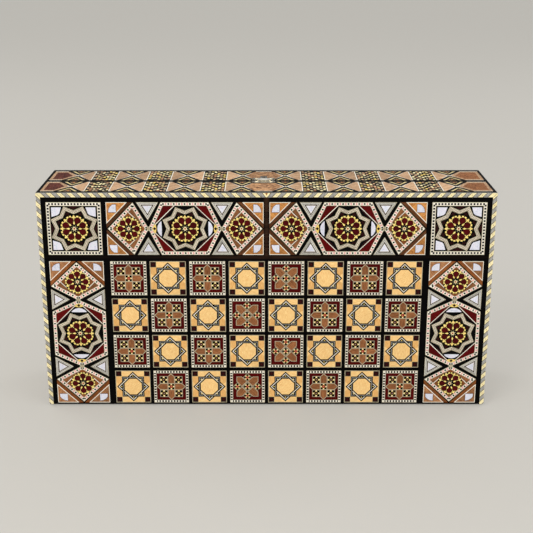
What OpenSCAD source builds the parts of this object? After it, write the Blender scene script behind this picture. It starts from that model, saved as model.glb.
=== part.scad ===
// Folding chess and backgammon box with an inlaid outside.
// Two equal trays are hinged along the bottom edge and closed by a small hasp on the top edge.
// The outer faces of the two trays make the chessboard, and the inside makes the backgammon board.
// Frame: X across the width, Y through the thickness (front tray at -Y), Z up.
// Origin: middle of the footprint, at the lowest line of the hinge knuckles.

/* [Box] */
// Overall width of the closed box
box_w = 400; // [360:5:440]
// Depth of one tray, from the seam to its outer face
half_d = 45; // [40:1:55]
// Thickness of the four rails of each tray
rail_t = 10; // [9:0.5:12]
// Thickness of the ground panel under the chessboard
panel_t = 5; // [4:0.5:6]
// Width of the rabbet that holds the panel
rabbet_w = 5; // [3:0.5:6]
// Gap between the two rims when the box is closed
seam_gap = 0.3; // [0.2:0.1:0.6]

/* [Veneers] */
// Thickness of the inlaid tiles and of the ebony ground around them
inlay_t = 1.5; // [1:0.1:2]
// Thickness of the patterned veneer on the top and the two ends
side_veneer_t = 1.2; // [0.8:0.1:1.5]
// Thickness of the backgammon floor inside each tray
floor_t = 1.5; // [1:0.1:2]
// Thickness of the lining on the inner walls
wall_lining_t = 1; // [0.6:0.1:1.5]
// Thickness of the banding on each rim
rim_t = 1; // [0.6:0.1:1.5]

/* [Chessboard] */
// Width of the twisted-rope edging
rope_w = 3.8; // [3:0.1:5]
// Ebony line between the rope edging and the border panels
field_gap = 4.4; // [3:0.1:5]
// Width of the inlaid border
band_w = 47.8; // [40:0.1:50]
// Ebony line between the border and the squares
band_gap = 4.35; // [3:0.05:6]
// Ebony line between two squares
joint_w = 3.1; // [2:0.1:4]
// Ebony line between the two border panels at the middle of the top
centre_gap = 5.2; // [3:0.1:8]

/* [Backgammon] */
// Length of one backgammon point
point_l = 138; // [110:1:150]
// Share of the pitch that the base of a point takes
point_share = 0.82; // [0.6:0.01:0.9]
// Width across the flats of the octagonal medallion
medallion_w = 46; // [30:1:60]

/* [Hinges] */
// Distance of each hinge from the middle of the box
hinge_x = 120; // [80:1:150]
// Length of a hinge
hinge_l = 38; // [30:1:45]
// Width of one leaf, from the pin to its outer edge
leaf_w = 14.5; // [12:0.5:18]
// Thickness of a leaf
leaf_t = 1; // [0.8:0.1:1.2]
// Radius of the knuckles
knuckle_r = 1.5; // [1.4:0.05:1.8]
// Radius of the hinge pin
hinge_pin_r = 0.75; // [0.5:0.05:0.8]
// Number of knuckles on one hinge
knuckles = 5; // [3:2:7]
// Drop of the hinge axis below the wood, which parts the trays when they lie open
axis_drop = 0.15; // [0.1:0.05:0.3]

/* [Clasp] */
// Place of the clasp along the box, from the middle
clasp_x = -2.5; // [-20:0.5:20]
// Width of the lobed clasp plates
clasp_w = 21; // [18:0.5:24]
// Depth of one clasp plate
clasp_d = 8; // [7:0.5:9]
// Thickness of the clasp plates and of the hasp
clasp_t = 0.8; // [0.6:0.1:1]
// Width of the swinging hasp
hasp_w = 6.2; // [5.6:0.1:7]
// Radius of the knuckles of the hasp
hasp_knuckle_r = 1; // [0.9:0.05:1.2]
// Radius of the pin of the hasp
hasp_pin_r = 0.5; // [0.4:0.05:0.6]

/* [Hidden] */
$fn = 48;
e = 0.01;

box_h = box_w / 2;                        // a tray is half of the square board
lift = knuckle_r + axis_drop;             // height of the wood above the lowest line of the knuckles
axis_z = -axis_drop;                      // hinge axis, measured from the underside of the wood
margin = rope_w + field_gap + band_w + band_gap;
pitch = (box_w - 2 * margin) / 8;         // chess squares repeat at this pitch
square_w = pitch - joint_w;
panel_l = box_w / 2 - centre_gap / 2 - margin;   // long border panels
side_l = 4 * pitch - joint_w;                    // upright border panels, beside the four rows

rail_ox = box_w / 2 - side_veneer_t;      // outer face of the end rails
rail_oz = box_h - side_veneer_t;          // outer face of the top rail
y_rim = -seam_gap / 2;                    // rim of the front tray
y_back = -half_d + inlay_t;               // outer side of the ground panel
y_floor = y_back + panel_t;               // inner side of the ground panel
in_x = rail_ox - rail_t;                  // inner faces of the rails
in_z0 = rail_t;
in_z1 = rail_oz - rail_t;
hole_gap = 0.05;                          // clearance round a screw, a pin or a leaf
screw_x = hinge_l / 2 - 6;                // outer screws of a leaf
screw_y = (leaf_w + knuckle_r) / 2;       // distance of the screws from the pin
screw_r = 1.1;
screw_head_r = 2.1;
screw_l = 8;
clearance_r = knuckle_r + 0.35;           // radius of the channel round the knuckles

hasp_axis_y = -3;
hasp_axis_z = box_h + clasp_t + hasp_knuckle_r + 0.15;
lobe_x = clasp_w / 2 - clasp_d / 2;
plate_y = 5.5;                            // middle of each clasp plate, from the seam
tack_r = 0.55;
tack_l = 5;

// Colours of the real materials
ebony = [0.05, 0.04, 0.04];
walnut = [0.42, 0.25, 0.14];
beech = [0.72, 0.55, 0.36];
lemonwood = [0.93, 0.75, 0.42];
rosewood = [0.40, 0.10, 0.08];
bone = [0.90, 0.86, 0.74];
brass = [0.83, 0.68, 0.35];

// ---------- helpers ----------

// Puts a piece modelled for the front tray into the tray asked for, above the knuckle line
module on_tray(tray) {
    translate([0, 0, lift])
        if (tray == "lid") children();
        else mirror([0, 1, 0]) children();
}

// A block between two corners
module block(a, b) {
    translate(a) cube([b[0] - a[0], b[1] - a[1], b[2] - a[2]]);
}

// A prism over an outline in X and Z, between two Y planes
module plate_xz(points, y0, y1) {
    translate([0, y1, 0]) rotate([90, 0, 0]) linear_extrude(y1 - y0) polygon(points);
}

// Cylinder along X between two stations
module rod_x(x0, x1, y, z, r) {
    translate([x0, y, z]) rotate([0, 90, 0]) cylinder(r = r, h = x1 - x0);
}

// Room cut in the wood for the two hinges: leaf mortise and knuckle channel
module hinge_room() {
    for (s = [-1, 1]) {
        block([s * hinge_x - hinge_l / 2 - hole_gap, -leaf_w - hole_gap, -e],
              [s * hinge_x + hinge_l / 2 + hole_gap, e, leaf_t]);
        rod_x(s * hinge_x - hinge_l / 2 - hole_gap, s * hinge_x + hinge_l / 2 + hole_gap,
              0, axis_z, clearance_r);
    }
}

// Pilot holes for the hinge screws
module hinge_pilots() {
    for (s = [-1, 1], i = [-1, 0, 1])
        translate([s * hinge_x + i * screw_x, -screw_y, 0])
            cylinder(r = screw_r + hole_gap, h = screw_l + 0.3);
}

// Pilot holes for the tacks of the clasp plates
module tack_pilots() {
    for (s = [-1, 1])
        translate([clasp_x + s * lobe_x, -plate_y, box_h - tack_l - 0.2])
            cylinder(r = tack_r + hole_gap, h = tack_l + 1);
}

// ---------- carcass of a tray ----------

// Outline of the mitred share of a ring that one side takes: "top", "bottom", "left" or "right"
function mitre(side, ox, z1, t) =
    side == "bottom" ? [[-ox, 0], [ox, 0], [ox - t, t], [-ox + t, t]] :
    side == "top" ? [[-ox, z1], [-ox + t, z1 - t], [ox - t, z1 - t], [ox, z1]] :
    side == "left" ? [[-ox, 0], [-ox + t, t], [-ox + t, z1 - t], [-ox, z1]] :
    [[ox, 0], [ox, z1], [ox - t, z1 - t], [ox - t, t]];

// One mitred rail with the rabbet for the panel
module rail(side) {
    difference() {
        plate_xz(mitre(side, rail_ox, rail_oz, rail_t), y_back, y_rim - rim_t);
        block([-in_x - rabbet_w, y_back - 1, in_z0 - rabbet_w],
              [in_x + rabbet_w, y_floor, in_z1 + rabbet_w]);
        if (side == "bottom") {
            hinge_room();
            hinge_pilots();
        }
        if (side == "top") tack_pilots();
    }
}

// Plywood ground, let into the rabbets
module ground_panel() {
    block([-in_x - rabbet_w, y_back, in_z0 - rabbet_w],
          [in_x + rabbet_w, y_floor, in_z1 + rabbet_w]);
}

// Banding on the rim, one mitred strip for each rail
module rim_banding() {
    for (side = ["top", "left", "right"])
        plate_xz(mitre(side, rail_ox, rail_oz, rail_t), y_rim - rim_t, y_rim);
    difference() {
        plate_xz(mitre("bottom", rail_ox, rail_oz, rail_t), y_rim - rim_t, y_rim);
        hinge_room();
    }
}

// ---------- outside: chessboard and borders ----------

// Centre of a square: column 0 is at -X, row 0 is beside the fold
function square_at(c, r) = [-box_w / 2 + margin + (c + 0.5) * pitch, (r + 0.5) * pitch];

// Squares of one colour, between two Y planes
module squares(parity, y0 = -half_d, y1 = y_back) {
    for (c = [0:7], r = [0:3])
        if ((c + r) % 2 == parity) {
            p = square_at(c, r);
            block([p[0] - square_w / 2, y0, p[1] - square_w / 2],
                  [p[0] + square_w / 2, y1, p[1] + square_w / 2]);
        }
}

// Tiles at the two upper corners
module corner_tiles(y0 = -half_d, y1 = y_back) {
    z1 = box_h - rope_w - field_gap;
    x1 = box_w / 2 - rope_w - field_gap;
    for (s = [-1, 1])
        block([min(s * x1, s * (x1 - band_w)), y0, z1 - band_w],
              [max(s * x1, s * (x1 - band_w)), y1, z1]);
}

// Two long border panels along the top
module top_border_panels(y0 = -half_d, y1 = y_back) {
    z1 = box_h - rope_w - field_gap;
    for (s = [-1, 1])
        block([s > 0 ? centre_gap / 2 : -centre_gap / 2 - panel_l, y0, z1 - band_w],
              [s > 0 ? centre_gap / 2 + panel_l : -centre_gap / 2, y1, z1]);
}

// Two upright border panels beside the squares
module side_border_panels(y0 = -half_d, y1 = y_back) {
    x1 = box_w / 2 - rope_w - field_gap;
    for (s = [-1, 1])
        block([min(s * x1, s * (x1 - band_w)), y0, joint_w / 2],
              [max(s * x1, s * (x1 - band_w)), y1, joint_w / 2 + side_l]);
}

// Rope edging along the top and the two ends, mitred at the corners
module rope_edging() {
    x = box_w / 2;
    z = box_h;
    w = rope_w;
    plate_xz([[-x, z], [-x + w, z - w], [x - w, z - w], [x, z]], -half_d, y_back);
    plate_xz([[-x, 0], [-x + w, 0], [-x + w, z - w], [-x, z]], -half_d, y_back);
    plate_xz([[x, 0], [x, z], [x - w, z - w], [x - w, 0]], -half_d, y_back);
}

// Ebony ground: one sheet with a pocket for every tile
module ebony_ground() {
    difference() {
        block([-box_w / 2 + rope_w, -half_d, 0], [box_w / 2 - rope_w, y_back, box_h - rope_w]);
        for (parity = [0, 1]) squares(parity, -half_d - 1, y_back + 1);
        corner_tiles(-half_d - 1, y_back + 1);
        top_border_panels(-half_d - 1, y_back + 1);
        side_border_panels(-half_d - 1, y_back + 1);
    }
}

// Patterned veneers over the top rail and the end rails
module top_veneer() {
    difference() {
        block([-box_w / 2, y_back, rail_oz], [box_w / 2, y_rim, box_h]);
        tack_pilots();
    }
}
module end_veneer(s) {
    block([s < 0 ? -box_w / 2 : rail_ox, y_back, 0], [s < 0 ? -rail_ox : box_w / 2, y_rim, rail_oz]);
}

// ---------- inside: backgammon field ----------

point_pitch = (in_z1 - in_z0 - 2 * wall_lining_t) / 6;
point_x = in_x - wall_lining_t;

// Outline of backgammon point i (0 to 5, from the fold) at the end s of the tray
function point_outline(i, s) =
    let (z = in_z0 + wall_lining_t + (i + 0.5) * point_pitch, h = point_share * point_pitch / 2)
    [[s * point_x, z - h], [s * point_x, z + h], [s * (point_x - point_l), z]];

// Points of one colour: the colours alternate, and face each other across the tray
module points(parity, y0, y1) {
    for (i = [0:5], s = [-1, 1])
        if ((i + (s < 0 ? 0 : 1)) % 2 == parity) plate_xz(point_outline(i, s), y0, y1);
}

// Octagonal medallion in the middle of the floor
module medallion(y0, y1) {
    translate([0, y1, (in_z0 + in_z1) / 2]) rotate([90, 0, 0]) rotate([0, 0, 22.5])
        cylinder(r = medallion_w / 2 / cos(22.5), h = y1 - y0, $fn = 8);
}

// Floor sheet with pockets for the points and the medallion
module floor_lining() {
    difference() {
        block([-in_x, y_floor, in_z0], [in_x, y_floor + floor_t, in_z1]);
        for (parity = [0, 1]) points(parity, y_floor - 1, y_floor + floor_t + 1);
        medallion(y_floor - 1, y_floor + floor_t + 1);
    }
}

// Linings of the four inner walls, standing on the floor sheet
module wall_linings() {
    y0 = y_floor + floor_t;
    t = wall_lining_t;
    block([-in_x, y0, in_z1 - t], [in_x, y_rim, in_z1]);
    block([-in_x, y0, in_z0], [in_x, y_rim, in_z0 + t]);
    for (s = [-1, 1])
        block([s < 0 ? -in_x : in_x - t, y0, in_z0 + t], [s < 0 ? -in_x + t : in_x, y_rim, in_z1 - t]);
}

// ---------- hinges ----------

knuckle_l = hinge_l / knuckles;

// One leaf of a butt hinge: own = 0 for the tray with the end knuckles, 1 for the other
module hinge_leaf(s, own) {
    xc = s * hinge_x;
    difference() {
        union() {
            block([xc - hinge_l / 2, -leaf_w, 0], [xc + hinge_l / 2, -clearance_r, leaf_t]);
            for (k = [own:2:knuckles - 1]) {
                x0 = xc - hinge_l / 2 + k * knuckle_l + (k == 0 ? 0 : 0.1);
                x1 = xc - hinge_l / 2 + (k + 1) * knuckle_l - (k == knuckles - 1 ? 0 : 0.1);
                rod_x(x0, x1, 0, axis_z, knuckle_r);
                block([x0, -clearance_r - e, 0], [x1, 0, leaf_t]);
            }
        }
        rod_x(xc - hinge_l, xc + hinge_l, 0, axis_z, hinge_pin_r + hole_gap);
        for (i = [-1, 0, 1]) translate([xc + i * screw_x, -screw_y, 0]) {
            translate([0, 0, -1]) cylinder(r = screw_r + hole_gap, h = 4);
            translate([0, 0, -e]) cylinder(r1 = screw_head_r + hole_gap, r2 = screw_r + hole_gap,
                                           h = screw_head_r - screw_r);
        }
    }
}

// Countersunk wood screws with a driving slot
module hinge_screws() {
    for (s = [-1, 1], i = [-1, 0, 1])
        translate([s * hinge_x + i * screw_x, -screw_y, 0]) difference() {
            union() {
                cylinder(r1 = screw_head_r, r2 = screw_r, h = screw_head_r - screw_r);
                cylinder(r = screw_r, h = screw_l - 1.5);
                translate([0, 0, screw_l - 1.5]) cylinder(r1 = screw_r, r2 = 0.2, h = 1.5);
            }
            translate([-screw_head_r - 1, -0.25, -e]) cube([2 * screw_head_r + 2, 0.5, 0.4]);
        }
}

module hinge_pin(s) {
    rod_x(s * hinge_x - hinge_l / 2, s * hinge_x + hinge_l / 2, 0, axis_z, hinge_pin_r);
}

// ---------- clasp ----------

// Lobed plate with two tack holes, centred at a distance y from the seam
module clasp_plate(y) {
    difference() {
        union() {
            block([-lobe_x, y - clasp_d / 2 + 0.6, box_h], [lobe_x, y + clasp_d / 2 - 0.6, box_h + clasp_t]);
            for (s = [-1, 1]) translate([s * lobe_x, y, box_h]) cylinder(r = clasp_d / 2, h = clasp_t);
        }
        for (s = [-1, 1]) translate([s * lobe_x, y, box_h - 1]) cylinder(r = tack_r + hole_gap, h = 4);
    }
}

// Round-headed tacks of one plate
module clasp_tacks(y) {
    for (s = [-1, 1]) translate([s * lobe_x, y, 0]) {
        translate([0, 0, box_h - tack_l]) cylinder(r = tack_r, h = tack_l + clasp_t);
        translate([0, 0, box_h + clasp_t]) cylinder(r1 = 1.3, r2 = 0.8, h = 0.6);
    }
}

// Plate of the hasp on the lid, with the two outer knuckles
module hasp_plate() {
    r = hasp_knuckle_r;
    difference() {
        union() {
            clasp_plate(-plate_y);
            for (s = [-1, 1]) {
                x0 = s > 0 ? hasp_w / 2 + 0.15 : -hasp_w / 2 - 2.6;
                x1 = s > 0 ? hasp_w / 2 + 2.6 : -hasp_w / 2 - 0.15;
                rod_x(x0, x1, hasp_axis_y, hasp_axis_z, r);
                block([x0, hasp_axis_y - r, box_h + clasp_t - 0.2], [x1, hasp_axis_y + r, hasp_axis_z]);
            }
        }
        rod_x(-8, 8, hasp_axis_y, hasp_axis_z, hasp_pin_r + hole_gap);
    }
}

// Swinging hasp: knuckle, strap with a window for the hook, and a rolled thumb edge
module hasp() {
    w = hasp_w / 2;
    z0 = hasp_axis_z - clasp_t / 2;
    difference() {
        union() {
            rod_x(-w, w, hasp_axis_y, hasp_axis_z, hasp_knuckle_r);
            block([-w, hasp_axis_y, z0], [w, 8.4, z0 + clasp_t]);
            rod_x(-w, w, 8.4, z0 + 0.5, 0.5);
        }
        rod_x(-8, 8, hasp_axis_y, hasp_axis_z, hasp_pin_r + hole_gap);
        block([-1.5, 4.6, z0 - 1], [1.5, 6.6, z0 + 2]);
    }
}

// Keeper on the base: lobed plate with the hook that stands through the window
module clasp_keeper() {
    union() {
        clasp_plate(plate_y);
        block([-1.1, 5.2, box_h + clasp_t - 0.2], [1.1, 6.2, hasp_axis_z + 0.9]);
    }
}

module hasp_pin() {
    rod_x(-hasp_w / 2 - 2.6, hasp_w / 2 + 2.6, hasp_axis_y, hasp_axis_z, hasp_pin_r);
}

// ---------- nodes ----------

color(beech) on_tray("lid") rail("top");  // lid_top_rail
color(beech) on_tray("lid") rail("bottom");  // lid_bottom_rail
color(beech) on_tray("lid") rail("left");  // lid_left_rail
color(beech) on_tray("lid") rail("right");  // lid_right_rail
color(beech) on_tray("lid") ground_panel();  // lid_panel
color(ebony) on_tray("lid") ebony_ground();  // lid_ebony_ground
color(lemonwood) on_tray("lid") squares(0);  // lid_light_squares
color(rosewood) on_tray("lid") squares(1);  // lid_dark_squares
color(bone) on_tray("lid") corner_tiles();  // lid_corner_tiles
color(walnut) on_tray("lid") top_border_panels();  // lid_top_border_panels
color(walnut) on_tray("lid") side_border_panels();  // lid_side_border_panels
color(lemonwood) on_tray("lid") rope_edging();  // lid_rope_edging
color(walnut) on_tray("lid") top_veneer();  // lid_top_veneer
color(walnut) on_tray("lid") end_veneer(-1);  // lid_left_veneer
color(walnut) on_tray("lid") end_veneer(1);  // lid_right_veneer
color(walnut) on_tray("lid") floor_lining();  // lid_floor_lining
color(lemonwood) on_tray("lid") points(0, y_floor, y_floor + floor_t);  // lid_light_points
color(rosewood) on_tray("lid") points(1, y_floor, y_floor + floor_t);  // lid_dark_points
color(bone) on_tray("lid") medallion(y_floor, y_floor + floor_t);  // lid_medallion
color(walnut) on_tray("lid") wall_linings();  // lid_wall_linings
color(ebony) on_tray("lid") rim_banding();  // lid_rim_banding

color(beech) on_tray("base") rail("top");  // base_top_rail
color(beech) on_tray("base") rail("bottom");  // base_bottom_rail
color(beech) on_tray("base") rail("left");  // base_left_rail
color(beech) on_tray("base") rail("right");  // base_right_rail
color(beech) on_tray("base") ground_panel();  // base_panel
color(ebony) on_tray("base") ebony_ground();  // base_ebony_ground
color(lemonwood) on_tray("base") squares(1);  // base_light_squares
color(rosewood) on_tray("base") squares(0);  // base_dark_squares
color(bone) on_tray("base") corner_tiles();  // base_corner_tiles
color(walnut) on_tray("base") top_border_panels();  // base_top_border_panels
color(walnut) on_tray("base") side_border_panels();  // base_side_border_panels
color(lemonwood) on_tray("base") rope_edging();  // base_rope_edging
color(walnut) on_tray("base") top_veneer();  // base_top_veneer
color(walnut) on_tray("base") end_veneer(-1);  // base_left_veneer
color(walnut) on_tray("base") end_veneer(1);  // base_right_veneer
color(walnut) on_tray("base") floor_lining();  // base_floor_lining
color(lemonwood) on_tray("base") points(0, y_floor, y_floor + floor_t);  // base_light_points
color(rosewood) on_tray("base") points(1, y_floor, y_floor + floor_t);  // base_dark_points
color(bone) on_tray("base") medallion(y_floor, y_floor + floor_t);  // base_medallion
color(walnut) on_tray("base") wall_linings();  // base_wall_linings
color(ebony) on_tray("base") rim_banding();  // base_rim_banding

color(brass) on_tray("base") hinge_leaf(-1, 0);  // left_hinge_base_leaf
color(brass) on_tray("lid") hinge_leaf(-1, 1);  // left_hinge_lid_leaf
color(brass) on_tray("base") hinge_pin(-1);  // left_hinge_pin
color(brass) on_tray("base") hinge_leaf(1, 0);  // right_hinge_base_leaf
color(brass) on_tray("lid") hinge_leaf(1, 1);  // right_hinge_lid_leaf
color(brass) on_tray("base") hinge_pin(1);  // right_hinge_pin
color(brass) on_tray("base") hinge_screws();  // base_hinge_screws
color(brass) on_tray("lid") hinge_screws();  // lid_hinge_screws

color(brass) translate([clasp_x, 0, lift]) clasp_keeper();
color(brass) translate([clasp_x, 0, lift]) clasp_tacks(plate_y);  // keeper_pins
color(brass) translate([clasp_x, 0, lift]) hasp_plate();
color(brass) translate([clasp_x, 0, lift]) clasp_tacks(-plate_y);  // hasp_plate_pins
color(brass) translate([clasp_x, 0, lift]) hasp();
color(brass) translate([clasp_x, 0, lift]) hasp_pin();
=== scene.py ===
# Looks of the folding chess and backgammon box. Units are metres; patterns are drawn in millimetres.
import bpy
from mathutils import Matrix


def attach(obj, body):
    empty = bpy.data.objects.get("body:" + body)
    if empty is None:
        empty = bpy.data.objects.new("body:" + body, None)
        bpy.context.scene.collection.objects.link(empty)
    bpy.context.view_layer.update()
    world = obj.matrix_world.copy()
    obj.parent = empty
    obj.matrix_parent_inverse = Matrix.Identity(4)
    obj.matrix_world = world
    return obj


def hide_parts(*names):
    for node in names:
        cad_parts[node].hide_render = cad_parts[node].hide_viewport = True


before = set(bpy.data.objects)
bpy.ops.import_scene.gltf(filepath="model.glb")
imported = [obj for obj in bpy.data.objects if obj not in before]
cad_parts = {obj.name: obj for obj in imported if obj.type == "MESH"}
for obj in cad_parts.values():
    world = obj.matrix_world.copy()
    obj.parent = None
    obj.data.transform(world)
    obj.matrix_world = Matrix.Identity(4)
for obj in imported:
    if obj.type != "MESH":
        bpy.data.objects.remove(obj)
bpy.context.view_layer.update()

import math, random
import bpy, bmesh
from mathutils import Vector, Matrix
from mathutils.geometry import delaunay_2d_cdt

MM = 0.001
W, H, D = 400.0, 200.0, 45.0          # width, height and depth of one tray
LIFT = 1.65                           # the wood starts above the hinge knuckles
ROPE, FIELD, BAND, BGAP, JOINT, CGAP = 3.8, 4.4, 47.8, 4.35, 3.1, 5.2
MARGIN = ROPE + FIELD + BAND + BGAP
PITCH = (W - 2 * MARGIN) / 8
SQ = PITCH - JOINT
PANEL_L = W / 2 - CGAP / 2 - MARGIN
SIDE_L = 4 * PITCH - JOINT
INLAY, SIDE_T = 1.5, 1.2
SEAM = 0.15


# ---------------------------------------------------------------- colours and node helpers

def lin(r, g, b):
    def f(c):
        c /= 255.0
        return c / 12.92 if c <= 0.04045 else ((c + 0.055) / 1.055) ** 2.4
    return (f(r), f(g), f(b), 1.0)


class Nodes:
    """Short hand for building a node tree."""
    def __init__(self, name):
        self.mat = bpy.data.materials.new(name)
        self.mat.use_nodes = True
        self.t = self.mat.node_tree
        self.bsdf = self.t.nodes["Principled BSDF"]

    def add(self, kind, **kw):
        n = self.t.nodes.new(kind)
        for k, v in kw.items():
            setattr(n, k, v)
        return n

    def link(self, a, b):
        self.t.links.new(a, b)

    def math(self, op, a, b=None, c=None):
        n = self.add("ShaderNodeMath", operation=op)
        for i, x in enumerate((a, b, c)):
            if x is None:
                continue
            if isinstance(x, (int, float)):
                n.inputs[i].default_value = x
            else:
                self.link(x, n.inputs[i])
        return n.outputs[0]

    def mix(self, fac, a, b, blend="MIX"):
        n = self.add("ShaderNodeMix", data_type="RGBA", blend_type=blend)
        for s, x in ((0, fac), (6, a), (7, b)):
            if isinstance(x, (int, float)):
                n.inputs[s].default_value = x
            elif isinstance(x, tuple):
                n.inputs[s].default_value = x
            else:
                self.link(x, n.inputs[s])
        return n.outputs[2]

    def ramp(self, fac, stops):
        n = self.add("ShaderNodeValToRGB")
        r = n.color_ramp
        while len(r.elements) < len(stops):
            r.elements.new(0.5)
        for e, (p, c) in zip(r.elements, stops):
            e.position = p
            e.color = c
        self.link(fac, n.inputs[0])
        return n.outputs[0]

    def noise(self, vec, scale, detail=4.0, rough=0.55, dist=0.0):
        n = self.add("ShaderNodeTexNoise")
        n.inputs["Scale"].default_value = scale
        n.inputs["Detail"].default_value = detail
        n.inputs["Roughness"].default_value = rough
        n.inputs["Distortion"].default_value = dist
        self.link(vec, n.inputs["Vector"])
        return n.outputs["Fac"]

    def mapping(self, vec, scale=(1, 1, 1), rot=(0, 0, 0), loc=(0, 0, 0)):
        n = self.add("ShaderNodeMapping")
        n.inputs["Scale"].default_value = scale
        n.inputs["Rotation"].default_value = rot
        n.inputs["Location"].default_value = loc
        self.link(vec, n.inputs["Vector"])
        return n.outputs[0]

    def bump(self, height, strength, distance):
        n = self.add("ShaderNodeBump")
        n.inputs["Strength"].default_value = strength
        n.inputs["Distance"].default_value = distance
        self.link(height, n.inputs["Height"])
        self.link(n.outputs[0], self.bsdf.inputs["Normal"])
        return n

    def range(self, v, a, b, c, d):
        n = self.add("ShaderNodeMapRange")
        self.link(v, n.inputs[0])
        for i, x in enumerate((a, b, c, d)):
            n.inputs[i + 1].default_value = x
        return n.outputs[0]


def inlay_vector(n):
    """The piece's flat coordinates in centimetres, turned so that X runs along the grain of each sliver."""
    uv = n.add("ShaderNodeUVMap", uv_map="pat").outputs[0]
    g = n.add("ShaderNodeAttribute", attribute_name="grain").outputs["Fac"]
    r = n.add("ShaderNodeVectorRotate", rotation_type="Z_AXIS")
    n.link(uv, r.inputs["Vector"])
    n.link(n.math("MULTIPLY", g, -1.0), r.inputs["Angle"])
    return r.outputs[0]


def lacquer(n, coat=0.02, coat_rough=0.16, spec=0.06):
    n.bsdf.inputs["Specular IOR Level"].default_value = spec
    n.bsdf.inputs["Coat Weight"].default_value = coat
    n.bsdf.inputs["Coat Roughness"].default_value = coat_rough
    n.bsdf.inputs["Coat IOR"].default_value = 1.5


def inlay_wood(name, light, dark, fig=1.0, pores=0.5, rough=(0.30, 0.46), spread=0.22, coat=0.02, spec=0.06, burl=0.0, cloud=0.10):
    """Veneer sliver: long fibres, darker pores and a tone of its own for every sliver."""
    n = Nodes(name)
    v = inlay_vector(n)
    tone = n.add("ShaderNodeAttribute", attribute_name="tone").outputs["Fac"]
    off = n.add("ShaderNodeCombineXYZ")
    n.link(n.math("MULTIPLY", tone, 31.0), off.inputs[0])
    n.link(n.math("MULTIPLY", tone, 17.0), off.inputs[1])
    add = n.add("ShaderNodeVectorMath", operation="ADD")
    n.link(v, add.inputs[0]); n.link(off.outputs[0], add.inputs[1])
    v = add.outputs[0]
    fib = n.noise(n.mapping(v, (1.1, 16.0, 1.0)), 1.6 * fig, 5.0, 0.6, 0.25)
    fine = n.noise(n.mapping(v, (4.0, 60.0, 1.0)), 1.6, 3.0, 0.6)
    broad = n.noise(n.mapping(v, (0.5, 1.6, 1.0)), 1.0, 2.0, 0.5)
    g = n.math("ADD", n.math("MULTIPLY", fib, 0.75), n.math("MULTIPLY", fine, 0.25))
    if burl:
        knots = n.noise(n.mapping(v, (1.9, 3.4, 1.0)), 1.0, 4.0, 0.66, 1.6)
        knots = n.range(knots, 0.34, 0.66, 0.22, 0.78)
        g = n.math("ADD", n.math("MULTIPLY", g, 1.0 - burl), n.math("MULTIPLY", knots, burl))
    c = n.ramp(g, [(0.36, dark), (0.62, light)])
    pore = n.range(fine, 0.30, 0.42, 1.0, 0.0)
    c = n.mix(n.math("MULTIPLY", pore, pores * 0.55), c, tuple(x * 0.35 for x in dark[:3]) + (1.0,))
    k = n.math("ADD", n.math("MULTIPLY", tone, spread), n.range(broad, 0.3, 0.7, -cloud, cloud))
    hsv = n.add("ShaderNodeHueSaturation")
    n.link(n.math("ADD", k, 1.0), hsv.inputs["Value"])
    n.link(c, hsv.inputs["Color"])
    n.link(hsv.outputs[0], n.bsdf.inputs["Base Color"])
    n.link(n.range(fib, 0.25, 0.75, rough[1], rough[0]), n.bsdf.inputs["Roughness"])
    lacquer(n, coat, spec=spec)
    n.bump(fine, 0.05, 0.00005)
    return n.mat


def inlay_bone(name, light, dark, rough=(0.25, 0.36)):
    """Bone and shell: close-grained, pale, with faint streaks."""
    n = Nodes(name)
    v = inlay_vector(n)
    tone = n.add("ShaderNodeAttribute", attribute_name="tone").outputs["Fac"]
    s = n.noise(n.mapping(v, (2.0, 12.0, 1.0)), 2.0, 3.0, 0.5)
    c = n.ramp(s, [(0.32, dark), (0.62, light)])
    hsv = n.add("ShaderNodeHueSaturation")
    n.link(n.math("ADD", n.math("MULTIPLY", tone, 0.10), 1.0), hsv.inputs["Value"])
    n.link(c, hsv.inputs["Color"])
    n.link(hsv.outputs[0], n.bsdf.inputs["Base Color"])
    n.link(n.range(s, 0.3, 0.7, rough[1], rough[0]), n.bsdf.inputs["Roughness"])
    lacquer(n, 0.02, 0.14)
    return n.mat


def inlay_pearl(name):
    """Mother-of-pearl: cloudy bands that turn from cool white to pink and green."""
    n = Nodes(name)
    v = inlay_vector(n)
    tone = n.add("ShaderNodeAttribute", attribute_name="tone").outputs["Fac"]
    a = n.noise(n.mapping(v, (1.6, 3.4, 1.0)), 2.2, 4.0, 0.6, 1.6)
    b = n.noise(n.mapping(v, (2.4, 1.3, 1.0), loc=(3.1, 7.7, 0.0)), 3.0, 2.0, 0.5, 1.2)
    c = n.ramp(a, [(0.25, lin(176, 182, 204)), (0.42, lin(216, 219, 232)), (0.56, lin(236, 234, 240)),
                   (0.72, lin(205, 208, 226))])
    tint = n.ramp(b, [(0.35, lin(214, 228, 224)), (0.5, lin(240, 238, 242)), (0.66, lin(238, 216, 224))])
    c = n.mix(0.38, c, tint, "MULTIPLY")
    hsv = n.add("ShaderNodeHueSaturation")
    n.link(n.math("ADD", n.math("MULTIPLY", tone, 0.07), 1.04), hsv.inputs["Value"])
    n.link(c, hsv.inputs["Color"])
    n.link(hsv.outputs[0], n.bsdf.inputs["Base Color"])
    n.link(n.range(a, 0.3, 0.7, 0.24, 0.14), n.bsdf.inputs["Roughness"])
    lacquer(n, 0.12, 0.10)
    return n.mat


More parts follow.
